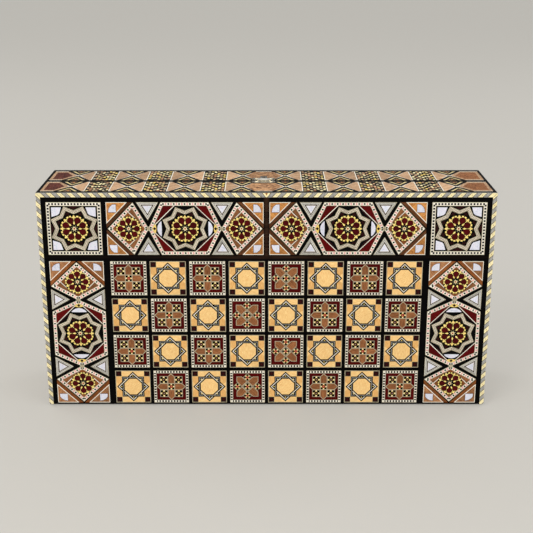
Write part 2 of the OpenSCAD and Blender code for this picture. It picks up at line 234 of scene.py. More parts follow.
def inlay_braid(name, c1, c2, cell, twill=0.0):
    """Micro mosaic: a rod of tiny slivers, some of them set in slanting rows."""
    n = Nodes(name)
    v = inlay_vector(n)
    m = n.mapping(v, (1.0, 1.0, 1.0), rot=(0, 0, math.radians(45)))
    ch = n.add("ShaderNodeTexChecker")
    ch.inputs["Scale"].default_value = 10.0 / cell
    n.link(m, ch.inputs["Vector"])
    grainy = n.noise(v, 9.0, 2.0, 0.5)
    c = n.mix(ch.outputs["Fac"], c1, c2)
    c = n.mix(n.range(grainy, 0.35, 0.65, 0.0, 0.35), c, tuple(0.5 * (x + y) for x, y in zip(c1[:3], c2[:3])) + (1.0,))
    if twill:
        sep = n.add("ShaderNodeSeparateXYZ")
        n.link(m, sep.inputs[0])
        w = n.math("SINE", n.math("MULTIPLY", sep.outputs[0], 2 * math.pi * 10.0 / twill))
        c = n.mix(n.range(w, 0.15, 0.75, 0.0, 0.75), c, tuple(0.45 * x for x in c2[:3]) + (1.0,))
    tone = n.add("ShaderNodeAttribute", attribute_name="tone").outputs["Fac"]
    hsv = n.add("ShaderNodeHueSaturation")
    n.link(n.math("ADD", n.math("MULTIPLY", tone, 0.12), 1.0), hsv.inputs["Value"])
    n.link(c, hsv.inputs["Color"])
    n.link(hsv.outputs[0], n.bsdf.inputs["Base Color"])
    n.link(n.range(grainy, 0.3, 0.7, 0.42, 0.30), n.bsdf.inputs["Roughness"])
    lacquer(n)
    return n.mat


MATS = {
    "eb": inlay_wood("inlay_ebony", lin(9, 8, 8), lin(3, 3, 3), pores=0.3, rough=(0.26, 0.40), coat=0.01, spec=0.03),
    "ma": inlay_wood("inlay_rosewood", lin(90, 12, 12), lin(50, 4, 6), pores=0.6),
    "mr": inlay_wood("inlay_redwood", lin(98, 9, 9), lin(58, 3, 4), pores=0.5),
    "md": inlay_wood("inlay_dark_rosewood", lin(52, 18, 16), lin(20, 6, 6), pores=0.5),
    "pt": inlay_wood("inlay_petal", lin(88, 11, 13), lin(44, 3, 5), pores=0.4),
    "le": inlay_wood("inlay_lemon_wood", lin(255, 224, 158), lin(228, 166, 90), fig=1.5, pores=0.5, spread=0.08, cloud=0.03),
    "lo": inlay_wood("inlay_satin_wood", lin(252, 208, 134), lin(220, 150, 76), fig=1.4, pores=0.5, spread=0.12, cloud=0.04),
    "or": inlay_wood("inlay_apricot_wood", lin(224, 158, 88), lin(140, 82, 38), fig=0.8, pores=0.5, burl=0.3),
    "cb": inlay_wood("inlay_chestnut", lin(196, 140, 94), lin(112, 70, 42), fig=0.8, pores=0.6, burl=0.3),
    "br": inlay_wood("inlay_brown_wood", lin(156, 92, 46), lin(78, 40, 18), pores=0.5),
    "db": inlay_wood("inlay_dark_brown", lin(108, 66, 38), lin(52, 30, 17), pores=0.6),
    "wa": inlay_wood("inlay_walnut", lin(170, 112, 70), lin(78, 42, 24), fig=1.0, pores=0.7),
    "tn": inlay_wood("inlay_tan_wood", lin(224, 187, 148), lin(138, 98, 70), fig=0.55, pores=0.6, burl=0.25),
    "fw": inlay_wood("inlay_figured_wood", lin(204, 156, 112), lin(90, 52, 32), fig=0.5, pores=0.6, burl=0.8),
    "rb": inlay_wood("inlay_red_brown", lin(122, 64, 50), lin(44, 18, 15), fig=0.6, pores=0.6, burl=0.35),
    "ch": inlay_wood("inlay_cherry", lin(182, 122, 78), lin(102, 60, 36), fig=0.7, pores=0.6, burl=0.4),
    "bo": inlay_bone("inlay_bone", lin(250, 245, 230), lin(232, 222, 200)),
    "be": inlay_bone("inlay_beige", lin(190, 179, 150), lin(148, 135, 108)),
    "pk": inlay_bone("inlay_pink", lin(236, 184, 176), lin(214, 148, 142)),
    "ye": inlay_bone("inlay_yellow", lin(248, 222, 132), lin(226, 186, 88)),
    "yd": inlay_bone("inlay_dull_yellow", lin(238, 218, 156), lin(204, 180, 118)),
    "yr": inlay_bone("inlay_gold_yellow", lin(255, 234, 146), lin(243, 208, 108)),
    "py": inlay_bone("inlay_pale_yellow", lin(250, 240, 196), lin(238, 216, 148)),
    "rd": inlay_bone("inlay_red", lin(172, 50, 34), lin(124, 28, 20)),
    "pe": inlay_pearl("inlay_pearl"),
    "gc": inlay_braid("inlay_grey_mosaic", lin(176, 174, 164), lin(50, 51, 50), 0.50),
    "gl": inlay_braid("inlay_rope_mosaic", lin(206, 203, 194), lin(84, 84, 82), 0.80),
    "gb": inlay_braid("inlay_braid", lin(240, 230, 208), lin(112, 94, 74), 0.85),
    "gr": inlay_braid("inlay_herringbone", lin(236, 232, 220), lin(116, 112, 104), 0.80),
}


# ---------------------------------------------------------------- drawing a pattern

def rot2(p, a, c=(0.0, 0.0)):
    x, y = p[0] - c[0], p[1] - c[1]
    return (c[0] + x * math.cos(a) - y * math.sin(a), c[1] + x * math.sin(a) + y * math.cos(a))


def area2(pts):
    return 0.5 * sum(pts[i][0] * pts[(i + 1) % len(pts)][1] - pts[(i + 1) % len(pts)][0] * pts[i][1]
                     for i in range(len(pts)))


def inset(pts, d):
    """The polygon moved inwards by d along every edge."""
    if area2(pts) < 0:
        pts = pts[::-1]
    n = len(pts)
    lines = []
    for i in range(n):
        (x0, y0), (x1, y1) = pts[i], pts[(i + 1) % n]
        l = math.hypot(x1 - x0, y1 - y0)
        nx, ny = -(y1 - y0) / l, (x1 - x0) / l
        lines.append((nx, ny, nx * x0 + ny * y0 + d))
    out = []
    for i in range(n):
        a, b = lines[i - 1], lines[i]
        det = a[0] * b[1] - a[1] * b[0]
        if abs(det) < 1e-9:
            out.append((pts[i][0] + b[0] * d, pts[i][1] + b[1] * d))
        else:
            out.append(((a[2] * b[1] - a[1] * b[2]) / det, (a[0] * b[2] - a[2] * b[0]) / det))
    return out


class Pat:
    """A flat pattern in millimetres about its own centre; later shapes cover earlier ones."""
    def __init__(self, outline, ground="eb", g=0.0):
        self.outline = outline
        self.shapes = [(ground, outline, g, 0.0)]
        self.rng = random.Random(7)

    def poly(self, m, pts, g=0.0, t=None):
        if area2(pts) < 0:
            pts = pts[::-1]
        self.shapes.append((m, pts, g, self.rng.uniform(-1, 1) if t is None else t))

    def rect(self, m, x0, y0, x1, y1, g=0.0, t=None):
        self.poly(m, [(x0, y0), (x1, y0), (x1, y1), (x0, y1)], g, t)

    def disc(self, m, c, rx, ry=None, n=16, a=0.0, g=0.0, t=None):
        ry = rx if ry is None else ry
        pts = []
        for i in range(n):
            th = 2 * math.pi * (i + 0.5) / n
            pts.append(rot2((c[0] + rx * math.cos(th), c[1] + ry * math.sin(th)), a, c))
        self.poly(m, pts, g, t)

    def seg(self, m, p, q, w, t=None):
        dx, dy = q[0] - p[0], q[1] - p[1]
        l = math.hypot(dx, dy)
        nx, ny = -dy / l * w / 2, dx / l * w / 2
        self.poly(m, [(p[0] + nx, p[1] + ny), (p[0] - nx, p[1] - ny), (q[0] - nx, q[1] - ny), (q[0] + nx, q[1] + ny)],
                  math.atan2(dy, dx), t)

    def band(self, m, pts, d0, d1, t=None):
        """Mitred band between two insets of an outline, each side with its grain along it."""
        a, b = inset(pts, d0), inset(pts, d1)
        n = len(a)
        for i in range(n):
            j = (i + 1) % n
            self.poly(m, [a[i], a[j], b[j], b[i]], math.atan2(a[j][1] - a[i][1], a[j][0] - a[i][0]), t)

    def dots(self, p, q, n, size, across, mats=("eb",), ends=0.5):
        """n small blocks spread evenly along a line."""
        dx, dy = q[0] - p[0], q[1] - p[1]
        l = math.hypot(dx, dy)
        ux, uy = dx / l, dy / l
        for i in range(n):
            f = (i + ends) / (n - 1 + 2 * ends)
            c = (p[0] + dx * f, p[1] + dy * f)
            a, b = size / 2, across / 2
            if len(mats) > 1 and i % len(mats) == 0:
                b *= 0.72
            self.poly(mats[i % len(mats)],
                      [(c[0] + ux * s * a - uy * r * b, c[1] + uy * s * a + ux * r * b)
                       for s, r in ((-1, -1), (1, -1), (1, 1), (-1, 1))], math.atan2(dy, dx))

    def frame_dots(self, pts, d, pitch, size, across, mats=("eb",)):
        """Blocks along every side of an outline, at a distance d from it."""
        a = inset(pts, d)
        n = len(a)
        for i in range(n):
            p, q = a[i], a[(i + 1) % n]
            l = math.hypot(q[0] - p[0], q[1] - p[1])
            k = max(2, int(round(l / pitch)))
            self.dots(p, q, k, size, across, mats)


def square(h, c=(0.0, 0.0), turn=0.0):
    return [rot2((c[0] + x * h, c[1] + y * h), turn, c) for x, y in ((-1, -1), (1, -1), (1, 1), (-1, 1))]


def star8(c, big, small, a0, small2=None):
    """Eight-point star, its points at a0 + 45 k degrees; every other notch may have a radius of its own."""
    pts = []
    for k in range(16):
        r = big if k % 2 == 0 else (small if k % 4 == 1 or small2 is None else small2)
        th = math.radians(a0 + 22.5 * k)
        pts.append((c[0] + r * math.cos(th), c[1] + r * math.sin(th)))
    return pts


def polar(c, r, deg):
    return (c[0] + r * math.cos(math.radians(deg)), c[1] + r * math.sin(math.radians(deg)))


def drop(c, R, a):
    """Petal of a rosette: round outside, with its tip towards the centre c."""
    m = polar(c, 0.675 * R, a)
    pts = [polar(c, 0.335 * R, a)]
    for i in range(11):
        th = math.radians(-118 + 23.6 * i)
        pts.append(rot2((m[0] + 0.238 * R * math.cos(th), m[1] + 0.222 * R * math.sin(th)), math.radians(a), m))
    return pts


def rosette(p, c, R, a0):
    """Eight petals in yellow cells round a small star."""
    p.disc("eb", c, R * 1.04, n=32, t=0.0)
    for k in range(8):
        a = a0 + 45 * k
        s = a + 22.5
        # an inner and an outer kite between two petals
        p.poly("yr", [polar(c, 0.29 * R, s), polar(c, 0.41 * R, s + 10.0), polar(c, 0.60 * R, s), polar(c, 0.41 * R, s - 10.0)],
               math.radians(s))
        p.poly("yr", [polar(c, 0.60 * R, s), polar(c, 0.82 * R, s + 3.0), polar(c, 0.93 * R, s + 5.4), polar(c, 1.03 * R, s),
                      polar(c, 0.93 * R, s - 5.4), polar(c, 0.82 * R, s - 3.0)], math.radians(s))
        # knobs round the petal
        pc = polar(c, 0.665 * R, a)
        for da in (-56, -21, 21, 56):
            q = polar(pc, (0.285 if abs(da) < 50 else 0.272) * R, a + da)
            w = 0.076 if abs(da) < 50 else 0.046
            p.poly("yr", [rot2((q[0] + x * w * R, q[1] + y * w * R), math.radians(a + da), q)
                          for x, y in ((-0.8, -1), (0.8, -1), (0.8, 1), (-0.8, 1))], math.radians(a))
        p.poly("pt", drop(c, R, a), math.radians(a))
    p.disc("eb", c, 0.285 * R, n=16, t=0.0)
    for k in range(8):
        a = a0 + 45 * k
        p.poly("be", square(0.020 * R, polar(c, 0.225 * R, a), math.radians(a)))
    p.poly("py", star8(c, 0.185 * R, 0.105 * R, a0))
    p.disc("rd", c, 0.075 * R, n=8)


def mosaic(p, c, h, turn=0.0, heart="md"):
    """Small square mosaic: four dark corners and a diamond in a yellow ground."""
    p.poly("be", square(h, c, turn))
    g = h * 0.87
    p.poly("ye", square(g, c, turn), t=0.0)
    s = g * 0.38
    for x in (-1, 1):
        for y in (-1, 1):
            q = rot2((c[0] + x * (g - s), c[1] + y * (g - s)), turn, c)
            p.poly("eb", square(s, q, turn), t=0.0)
    for k in range(4):
        q = rot2((c[0] + g * 0.80, c[1]), turn + k * math.pi / 2, c)
        p.poly("bo", square(g * 0.12, q, turn))
    p.poly(heart, square(g * 0.44, c, turn + math.pi / 4))
    p.poly("pk", square(g * 0.10, c, turn + math.pi / 4))


def dotted_frame(p, o, wid, pitch, size, dots=("eb",), edge=0.38, ground="bo", across=0.80):
    p.band("be", o, 0.0, edge, t=0.0)
    p.band(ground, o, edge, wid - edge)
    p.band("be", o, wid - edge, wid, t=0.0)
    p.frame_dots(o, wid / 2, pitch, size, (wid - 2 * edge) * across, dots)


def pat_dark(S, cross):
    """Dark chess square. cross: arms along the sides; otherwise along the diagonals."""
    h = S / 2
    o = square(h)
    p = Pat(o, "be")
    dotted_frame(p, o, 2.65, 2.62, 1.6, edge=0.30, across=0.86)
    for x in (-1, 1):
        for y in (-1, 1):
            p.poly("bo", square(1.0, (x * (h - 1.33), y * (h - 1.33))))
            p.poly("be", square(0.36, (x * (h - 1.33), y * (h - 1.33)), math.pi / 4))
    f = h - 2.65
    p.rect("mr", -f, -f, f, f, math.pi / 4)
    if cross:
        for k in range(4):
            a = k * math.pi / 2
            arm = [(-3.25, 2.5), (3.25, 2.5), (3.25, 9.9), (0.0, f), (-3.25, 9.9)]
            p.poly("be", [rot2(q, a) for q in arm], a, 0.6)
        for x in (-1, 1):
            for y in (-1, 1):
                p.poly("ma", [(x * 3.25, y * 3.25), (x * 10.3, y * 3.25), (x * 10.3, y * 10.3), (x * 3.25, y * 10.3)])
                mosaic(p, (x * 6.75, y * 6.75), 3.6)
        for k in range(4):
            a = k * math.pi / 2
            arm = [(-2.75, 3.4), (2.75, 3.4), (2.75, 9.75), (0.0, f - 0.85), (-2.75, 9.75)]
            p.poly("wa", [rot2(q, a) for q in arm], a + math.pi / 2)
        mosaic(p, (0, 0), 3.1, heart="rd")
    else:
        for x in (-1, 1):
            for y in (-1, 1):
                arm = [(0.0, 4.6), (5.0, 9.95), (9.95, 9.95), (9.95, 5.0), (4.6, 0.0)]
                p.poly("be", [(x * q[0], y * q[1]) for q in arm], t=0.6)
                arm = [(0.75, 5.05), (5.25, 9.45), (9.45, 9.45), (9.45, 5.25), (5.05, 0.75)]
                p.poly("wa", [(x * q[0], y * q[1]) for q in arm],
                       math.atan2(y, x))
        for k in range(4):
            mosaic(p, rot2((0, 9.1), k * math.pi / 2), 4.12 / math.sqrt(2), math.pi / 4, heart="rd")
        mosaic(p, (0, 0), 4.2 / math.sqrt(2), math.pi / 4, heart="rd")
    return p


def pat_light(S, grain=48.0):
    """Light chess square: two interlaced squares round an octagon of lemon wood."""
    h = S / 2
    o = square(h)
    p = Pat(o, "be")
    p.band("be", o, 0.0, 0.6, t=0.2)
    f = h - 0.6
    for k in range(4):
        a = k * math.pi / 2
        p.poly("le" if k % 2 == 0 else "lo", [rot2(q, a) for q in ((-f, -f), (f, -f), (0, 0))], a)
        # pale wedge behind the point of the turned square
        p.poly("le", [rot2(q, a) for q in ((-4.6, -f), (4.6, -f), (0, -9.0))], a, 0.2)
    c5 = f - 4.9
    for x in (-1, 1):
        for y in (-1, 1):
            x0, x1 = sorted((x * f, x * c5))
            y0, y1 = sorted((y * f, y * c5))
            p.rect("be", x0 - 0.2, y0 - 0.2, x1 + 0.2, y1 + 0.2, t=-0.6)
            p.rect("md", x0, y0, x1, y1, math.pi / 2, t=-0.5)
            p.poly("ma", square(0.5, ((x0 + x1) / 2, (y0 + y1) / 2), math.pi / 4), t=-0.6)
    sq = square(10.1)
    dm = square(14.85 / math.sqrt(2), (0, 0), math.pi / 4)
    p.poly("gc", inset(sq, 1.9))
    p.poly("gc", inset(dm, 2.2))
    for k in range(4):
        a = k * math.pi / 2
        p.poly("ye", [rot2(q, a) for q in ((7.5, 4.4), (7.5, 7.5), (4.4, 7.5))], a)
        p.poly("eb", [rot2(q, a) for q in ((7.1, 6.0), (7.1, 7.1), (6.0, 7.1))], a, 0.0)
    i, d = 8.2, 11.55
    c = d - i
    octa = [(i, -c), (i, c), (c, i), (-c, i), (-i, c), (-i, -c), (-c, -i), (c, -i)]
    p.band("eb", sq, 0.0, 0.7, t=0.0)
    p.band("gc", sq, 0.7, 1.35)
    p.band("eb", sq, 1.35, 2.1, t=0.0)
    p.band("eb", dm, 0.0, 1.05, t=0.0)
    p.band("bo", dm, 1.05, 1.65)
    p.band("eb", dm, 1.65, 2.55, t=0.0)
    # the upright square passes over the turned one at every other crossing
    for k in range(4):
        a = k * math.pi / 2
        q = [(2.0, -10.1), (5.8, -10.1), (5.8, -8.2), (2.0, -8.2)]
        p.poly("eb", [rot2(z, a) for z in q], a, 0.0)
        q = [(2.0, -9.4), (5.8, -9.4), (5.8, -8.75), (2.0, -8.75)]
        p.poly("gc", [rot2(z, a) for z in q], a)
        # small yellow piece where the turned square passes the corner
        p.poly("yd", square(0.72, rot2((6.95, 6.95), a)), a)
    p.poly("le", octa, math.radians(grain), 0.4)
    p.band("eb", octa, 0.0, 0.4, t=0.0)
    for k in range(4):
        a = k * math.pi / 2
        p.poly("eb", [rot2(q, a) for q in ((-1.15, 10.1), (1.15, 10.1), (0.0, 11.25))], a, 0.0)
        p.poly("ye", square(0.45, rot2((0, 10.55), a), math.pi / 4))
    return p


def star_ribbon(p, c, big, small, wid, a0, small2=None):
    o = star8(c, big, small, a0, small2)
    p.poly("eb", inset(o, -0.45), t=0.0)
    p.band("be", o, 0.0, 0.42)
    p.band("gb", o, 0.42, wid - 0.42)
    p.band("be", o, wid - 0.42, wid)
    inner = inset(o, wid)
    p.poly("eb", inner, t=0.0)
    return inner


def star_field(p, c, R, a0):
    """Dark red kites in the points of the star, outside the rosette."""
    for k in range(8):
        a = a0 + 45 * k
        p.poly("md", [polar(c, R * 1.09, a), polar(c, R * 1.20, a - 9.5), polar(c, R * 1.36, a), polar(c, R * 1.20, a + 9.5)],
               math.radians(a))


def pat_corner(S):
    h = S / 2
    o = square(h)
    p = Pat(o, "be")
    dotted_frame(p, o, 3.35, 2.85, 1.65, edge=0.34, across=0.64)
    f = h - 3.35
    p.rect("eb", -f, -f, f, f, t=0.0)
    for k in range(4):
        a = k * math.pi / 2
        p.poly("md", [rot2(q, a) for q in ((-5.2, f), (5.2, f), (0, f - 3.4))], a)
        p.poly("pe", [rot2(q, a) for q in ((19.3, 19.3), (10.7, 19.3), (12.4, 13.8), (13.8, 12.4), (19.3, 10.7))], a)
    inner = star_ribbon(p, (0, 0), 21.9, 17.1, 3.2, 22.5, 16.7)
    star_field(p, (0, 0), 11.9, 22.5)
    rosette(p, (0, 0), 12.1, 22.5)
    return p


def pat_panel(L, Hh, corner="or", stripe="db"):
    """Border panel: a hexagon with the large star between two kites with rosettes."""
    h, l = Hh / 2, L / 2
    o = [(-l, -h), (l, -h), (l, h), (-l, h)]
    p = Pat(o, "eb")
    vx = 32.2                      # where a kite and the hexagon meet
    tx = 20.9                      # upper corners of the hexagon
    kt = l - 23.4                  # top of a kite
    for s in (-1, 1):
        # outer corners: wood triangle with a shell leaf, and a dark stripe along the kite
        for y in (-1, 1):
            tri = [(s * l, y * h), (s * (kt + 0.6), y * h), (s * l, y * 0.6)]
            p.poly(stripe, tri, math.radians(45) * s * -y)
            t3 = [(s * l, y * h), (s * (kt + 4.9), y * h), (s * l, y * 4.6)]
            p.poly("bo", t3, math.radians(45) * s * -y, 0.0)
            q = [(s * (l - 0.55), y * (h - 0.55)), (s * (kt + 6.35), y * (h - 0.55)), (s * (l - 0.55), y * 6.1)]
            p.poly(corner, q, math.radians(35) * s * y)
            leaf = [(-60.2, 21.9), (-63.2, 21.7), (-65.2, 20.0), (-66.5, 17.6), (-67.0, 14.9), (-60.2, 14.9)]
            p.poly("eb", inset([(s * (-x) + s * (l - 68.9), y * yy) for x, yy in leaf], -0.3), t=0.0)
            p.poly("pe", [(s * (-x) + s * (l - 68.9), y * yy) for x, yy in leaf])
        # triangles between kite and hexagon
        for y in (-1, 1):
            apex = s * (vx + 0.2)
            tri = [(s * 42.2, y * h), (s * 22.9, y * h), (apex, y * 7.6)]
            p.band("be", tri, 0.0, 0.3, t=0.0)
            p.band("gr", tri, 0.3, 1.25)
            p.band("gc", tri, 1.25, 1.5)
            p.band("gr", tri, 1.5, 2.25)
            p.poly("md", inset(tri, 2.25), t=-0.4)
            p.poly("bo", inset(tri, 3.0), t=0.0)
            p.poly("pe", inset(tri, 3.25))
        # kite
        k = [(s * (l - 0.9), 0.0), (s * kt, h - 0.1), (s * (vx - 0.6), 0.0), (s * kt, -h + 0.1)]
        p.poly("db", k, 0.0)
        c = (s * (l - 19.2), 0.0)
        sqr = square(14.6 / math.sqrt(2), c, math.pi / 4)
        p.poly("br", sqr, math.radians(20))
        for y in (-1, 1):
            p.seg("bo", (c[0], y * 15.2), (c[0] - s * 15.2, 0.0), 0.65)
        for y in (-1, 1):
            p.poly("wa", [(c[0] - s * 1.2, y * 15.4), (s * kt, y * (h - 4.6)), (s * (vx + 4.4), y * 2.3)], math.radians(60) * y * s)
        rosette(p, c, 10.9, 0.0)
        dotted_frame(p, k, 3.2, 2.3, 1.5, ("eb", "pk"), edge=0.34, across=0.86)
    # hexagon
    hx = [(-tx, -h), (tx, -h), (vx, 0.0), (tx, h), (-tx, h), (-vx, 0.0)]
    p.poly("mr", hx, 0.3)
    body = [(-9.2, 20.9), (-28.4, 1.7), (-28.4, -1.7), (-9.2, -20.9), (9.2, -20.9), (28.4, -1.7), (28.4, 1.7), (9.2, 20.9)]
    for y in (-1, 1):
        for s in (-1, 1):
            p.poly("mr", [(s * 9.0, y * 20.9), (s * 19.5, y * 20.9), (s * 28.9, y * 1.4)], math.radians(60) * s * y)
    p.poly("eb", body, t=0.0)
    for y in (-1, 1):
        for s in (-1, 1):
            p.poly("md", [(s * 10.2, y * 18.6), (s * 13.0, y * 16.2), (s * 19.4, y * 9.6), (s * 17.3, y * 9.6), (s * 13.2, y * 14.4)],
                   math.radians(-45) * s * y)
            p.seg("bo", (s * 8.9, y * 21.0), (s * 28.2, y * 1.7), 0.6)
    for s in (-1, 1):
        p.poly("ye", [(s * 30.6, 0.0), (s * 26.6, 3.9), (s * 25.6, 3.6), (s * 25.0, 0.0), (s * 25.6, -3.6), (s * 26.6, -3.9)])
        p.poly("or", [(s * 30.2, 0.0), (s * 28.2, 1.7), (s * 28.2, -1.7)])
        p.poly("md", square(1.05, (s * 26.7, 0.0), math.pi / 4))
        p.poly("pe", [(s * 24.3, 0.0), (s * 23.9, 2.6), (s * 22.7, 4.9), (s * 21.3, 6.4), (s * 20.5, 6.8), (s * 20.3, 0.0),
                      (s * 20.5, -6.8), (s * 21.3, -6.4), (s * 22.7, -4.9), (s * 23.9, -2.6)], math.pi / 2)
    inner = star_ribbon(p, (0, 0), 21.1, 16.6, 3.1, 22.5, 16.3)
    star_field(p, (0, 0), 11.6, 22.5)
    rosette(p, (0, 0), 12.0, 22.5)
    dotted_frame(p, hx, 3.2, 2.3, 1.5, ("eb", "pk"), edge=0.34, across=0.86)
    for s in (-1, 1):
        p.poly("be", square(1.5, (s * (vx - 0.2), 0.0), math.pi / 4))
    return p


def pat_rope(length, wid, slant, mitre, period=8.9, flip_at=None):
    """Twisted-rope banding along X. slant: +1 leans like a slash. mitre: (left, right) set-back at the inner edge."""
    l, w = length / 2, wid / 2
    o = [(-l + mitre[0], -w), (l - mitre[1], -w), (l, w), (-l, w)]
    p = Pat(o, "gl", 0.0)
    n = int(math.ceil(length / period)) + 1
    for i in range(-n, n + 1):
        c = i * period
        if flip_at is not None and i == 0:
            p.poly("md", [(-4.1, w), (4.1, w), (0.9, -w), (-0.9, -w)], t=0.0)
            p.poly("py", [(-3.5, w), (3.5, w), (0.5, -w), (-0.5, -w)])
            p.poly("or", [(-1.3, w), (1.3, w), (0.0, -0.4)])
            continue
        sl = slant if flip_at is None else (-1 if c < flip_at else 1)
        x0 = c - sl * wid / 2
        for m, k, t in (("md", 2.6, 0.0), ("py", 2.05, None)):
            q = clip_poly([(x0 - k, -w), (x0 + k, -w), (x0 + k + sl * wid, w), (x0 - k + sl * wid, w)], o)
            if len(q) > 2:
                p.poly(m, q, math.atan2(wid, sl * wid), t)
        if abs(c) < l - 2 * wid:
            p.poly("or", square(0.32, (c, 0.0), math.pi / 4))
    return p


def clip_poly(pts, clip):
    """Part of a polygon inside a convex one."""
    if area2(clip) < 0:
        clip = clip[::-1]
    out = list(pts)
    n = len(clip)
    for i in range(n):
        a, b = clip[i], clip[(i + 1) % n]
        def side(q):
            return (b[0] - a[0]) * (q[1] - a[1]) - (b[1] - a[1]) * (q[0] - a[0])
        src, out = out, []
        for j in range(len(src)):
            p, q = src[j], src[(j + 1) % len(src)]
            sp, sq = side(p), side(q)
            if sp >= 0:
                out.append(p)
            if (sp > 0 > sq) or (sp < 0 < sq):
                f = sp / (sp - sq)
                out.append((p[0] + (q[0] - p[0]) * f, p[1] + (q[1] - p[1]) * f))
        if not out:
            return []
    res = []
    for q in out:
        if not res or math.hypot(q[0] - res[-1][0], q[1] - res[-1][1]) > 1e-4:
            res.append(q)
    return res


# ---------------------------------------------------------------- turning a pattern into a piece

def slab(name, pat, O, U, V, thick, body, grid=(1, 1), seed=0, shrink=0.02, turn=0):
    """A closed slab with the pattern on its outer face, split along every line of the pattern.
    O is the centre of the outer face, U and V its directions, all in millimetres; thick goes inwards."""
    U, V = Vector(U), Vector(V)
    N = U.cross(V)
    rng = random.Random(seed)
    verts, faces = [], []
    outline = inset(pat.outline, shrink)
    shapes = []
    for i, (m, pts, g, t) in enumerate(pat.shapes):
        q = outline if i == 0 else clip_poly(pts, outline)
        if len(q) < 3 or abs(area2(q)) < 0.004:
            continue
        shapes.append((m, q, g, t))
    for m, q, g, t in shapes:
        k = len(verts)
        verts += [Vector((round(x, 4), round(y, 4))) for x, y in q]
        faces.append(list(range(k, k + len(q))))
    edges = []
    xs, ys = [q[0] for q in outline], [q[1] for q in outline]
    x0, x1, y0, y1 = min(xs), max(xs), min(ys), max(ys)
    nseg = grid[0] * grid[1]
    for i in range(1, nseg):
        x = x0 + (x1 - x0) * i / nseg
        k = len(verts)
        verts += [Vector((x, y0)), Vector((x, y1))]
        edges.append((k, k + 1))
    vs, es, fs, _, _, of = delaunay_2d_cdt(verts, edges, faces, 4, 1e-3)
    keep = [(f, max(o)) for f, o in zip(fs, of) if o]
    used = sorted({i for f, _ in keep for i in f})
    idx = {v: i for i, v in enumerate(used)}
    pts = [vs[i] for i in used]
    me = bpy.data.meshes.new(name)
    Ov = Vector(O)
    co = [(Ov + U * p[0] + V * p[1]) * MM for p in pts]
    nf = len(co)
    # boundary of the outer face
    count = {}
    polys = []
    for f, _ in keep:
        q = [idx[i] for i in f]
        if area2([pts[i] for i in q]) < 0:
            q.reverse()
        polys.append(q)
        for a, b in zip(q, q[1:] + q[:1]):
            count[(a, b)] = count.get((a, b), 0) + 1
    nxt = {a: b for (a, b) in count if (b, a) not in count}
    start = next(iter(nxt))
    loop, v = [start], nxt[start]
    while v != start and len(loop) <= len(nxt):
        loop.append(v)
        v = nxt[v]
    back = {}
    for a in loop:
        back[a] = len(co)
        co.append(co[a] - N * thick * MM)
    all_faces = list(polys)
    for a, b in zip(loop, loop[1:] + loop[:1]):
        all_faces.append([b, a, back[a], back[b]])
    all_faces.append([back[a] for a in reversed(loop)])
    me.from_pydata([tuple(c) for c in co], [], all_faces)
    # materials, grain and tone
    names = []
    for m, *_ in shapes:
        if m not in names:
            names.append(m)
    for m in names:
        me.materials.append(MATS[m])
    ga = me.attributes.new("grain", "FLOAT", "FACE")
    to = me.attributes.new("tone", "FLOAT", "FACE")
    uvp = me.uv_layers.new(name="pat")
    uvb = me.uv_layers.new(name="OFBake")
    jitter = [rng.uniform(-0.45, 0.45) for _ in shapes]
    du, dv = rng.uniform(0, 40), rng.uniform(0, 40)
    edge_mat = shapes[0][0]
    for fi, poly in enumerate(me.polygons):
        if fi < len(keep):
            s = keep[fi][1]
            m, _, g, t = shapes[s]
            poly.material_index = names.index(m)
            ga.data[fi].value = g
            to.data[fi].value = max(-1.0, min(1.0, t + jitter[s]))
            cx = sum(pts[i][0] for i in polys[fi]) / len(polys[fi])
            cell = min(nseg - 1, max(0, int((cx - x0) / (x1 - x0) * nseg)))
            cc, cr = cell % grid[0], cell // grid[0]
            for li, vi in zip(poly.loop_indices, polys[fi]):
                u, v = pts[vi]
                uvp.data[li].uv = (u * 0.1 + du, v * 0.1 + dv)
                fu = ((u - x0) / (x1 - x0) * nseg - cell)
                fv = (v - y0) / (y1 - y0)
                uvb.data[li].uv = ((cc + 0.01 + 0.98 * fu) / grid[0], 0.03 + 0.97 * (cr + 0.01 + 0.98 * fv) / grid[1])
        else:
            poly.material_index = names.index(edge_mat)
            ga.data[fi].value = 0.0
            to.data[fi].value = 0.0
            wall = fi < len(all_faces) - 1
            k = fi - len(keep)
            for j, li in enumerate(poly.loop_indices):
                c = me.vertices[me.loops[li].vertex_index].co / MM - Ov
                u, v, d = c.dot(U), c.dot(V), -c.dot(N)
                uvp.data[li].uv = ((u + d) * 0.1 + du, (v + d) * 0.1 + dv)
                if wall:
                    f = (k + (0.1 if j in (1, 2) else 0.9)) / (len(loop))
                    uvb.data[li].uv = (f * 0.9, 0.002 if j < 2 else 0.012)
                else:
                    uvb.data[li].uv = (0.92 + 0.06 * (u - x0) / (x1 - x0), 0.002 + 0.012 * (v - y0) / (y1 - y0))
    me.update()
    ob = bpy.data.objects.new(name, me)
    bpy.context.scene.collection.objects.link(ob)
    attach(ob, body)
    return ob


# ---------------------------------------------------------------- the two trays

class Tray:
    """Places front-tray coordinates on either tray: the rear one is the front one turned half round Z."""
    def __init__(self, name):
        self.name = name
        self.s = 1 if name == "lid" else -1

    def at(self, x, y, z):
        return (self.s * x, self.s * y, z + LIFT)

    def dir(self, x, y, z):
        return (self.s * x, self.s * y, z)

    def node(self, n):
        return self.name + "_" + n


def square_at(c, r):
    return (-W / 2 + MARGIN + (c + 0.5) * PITCH, (r + 0.5) * PITCH)


X_SQUARES = {(4, 3), (3, 2), (4, 1), (3, 0)}     # dark squares with diagonal arms
T0 = H - ROPE - FIELD                            # upper edge of the border


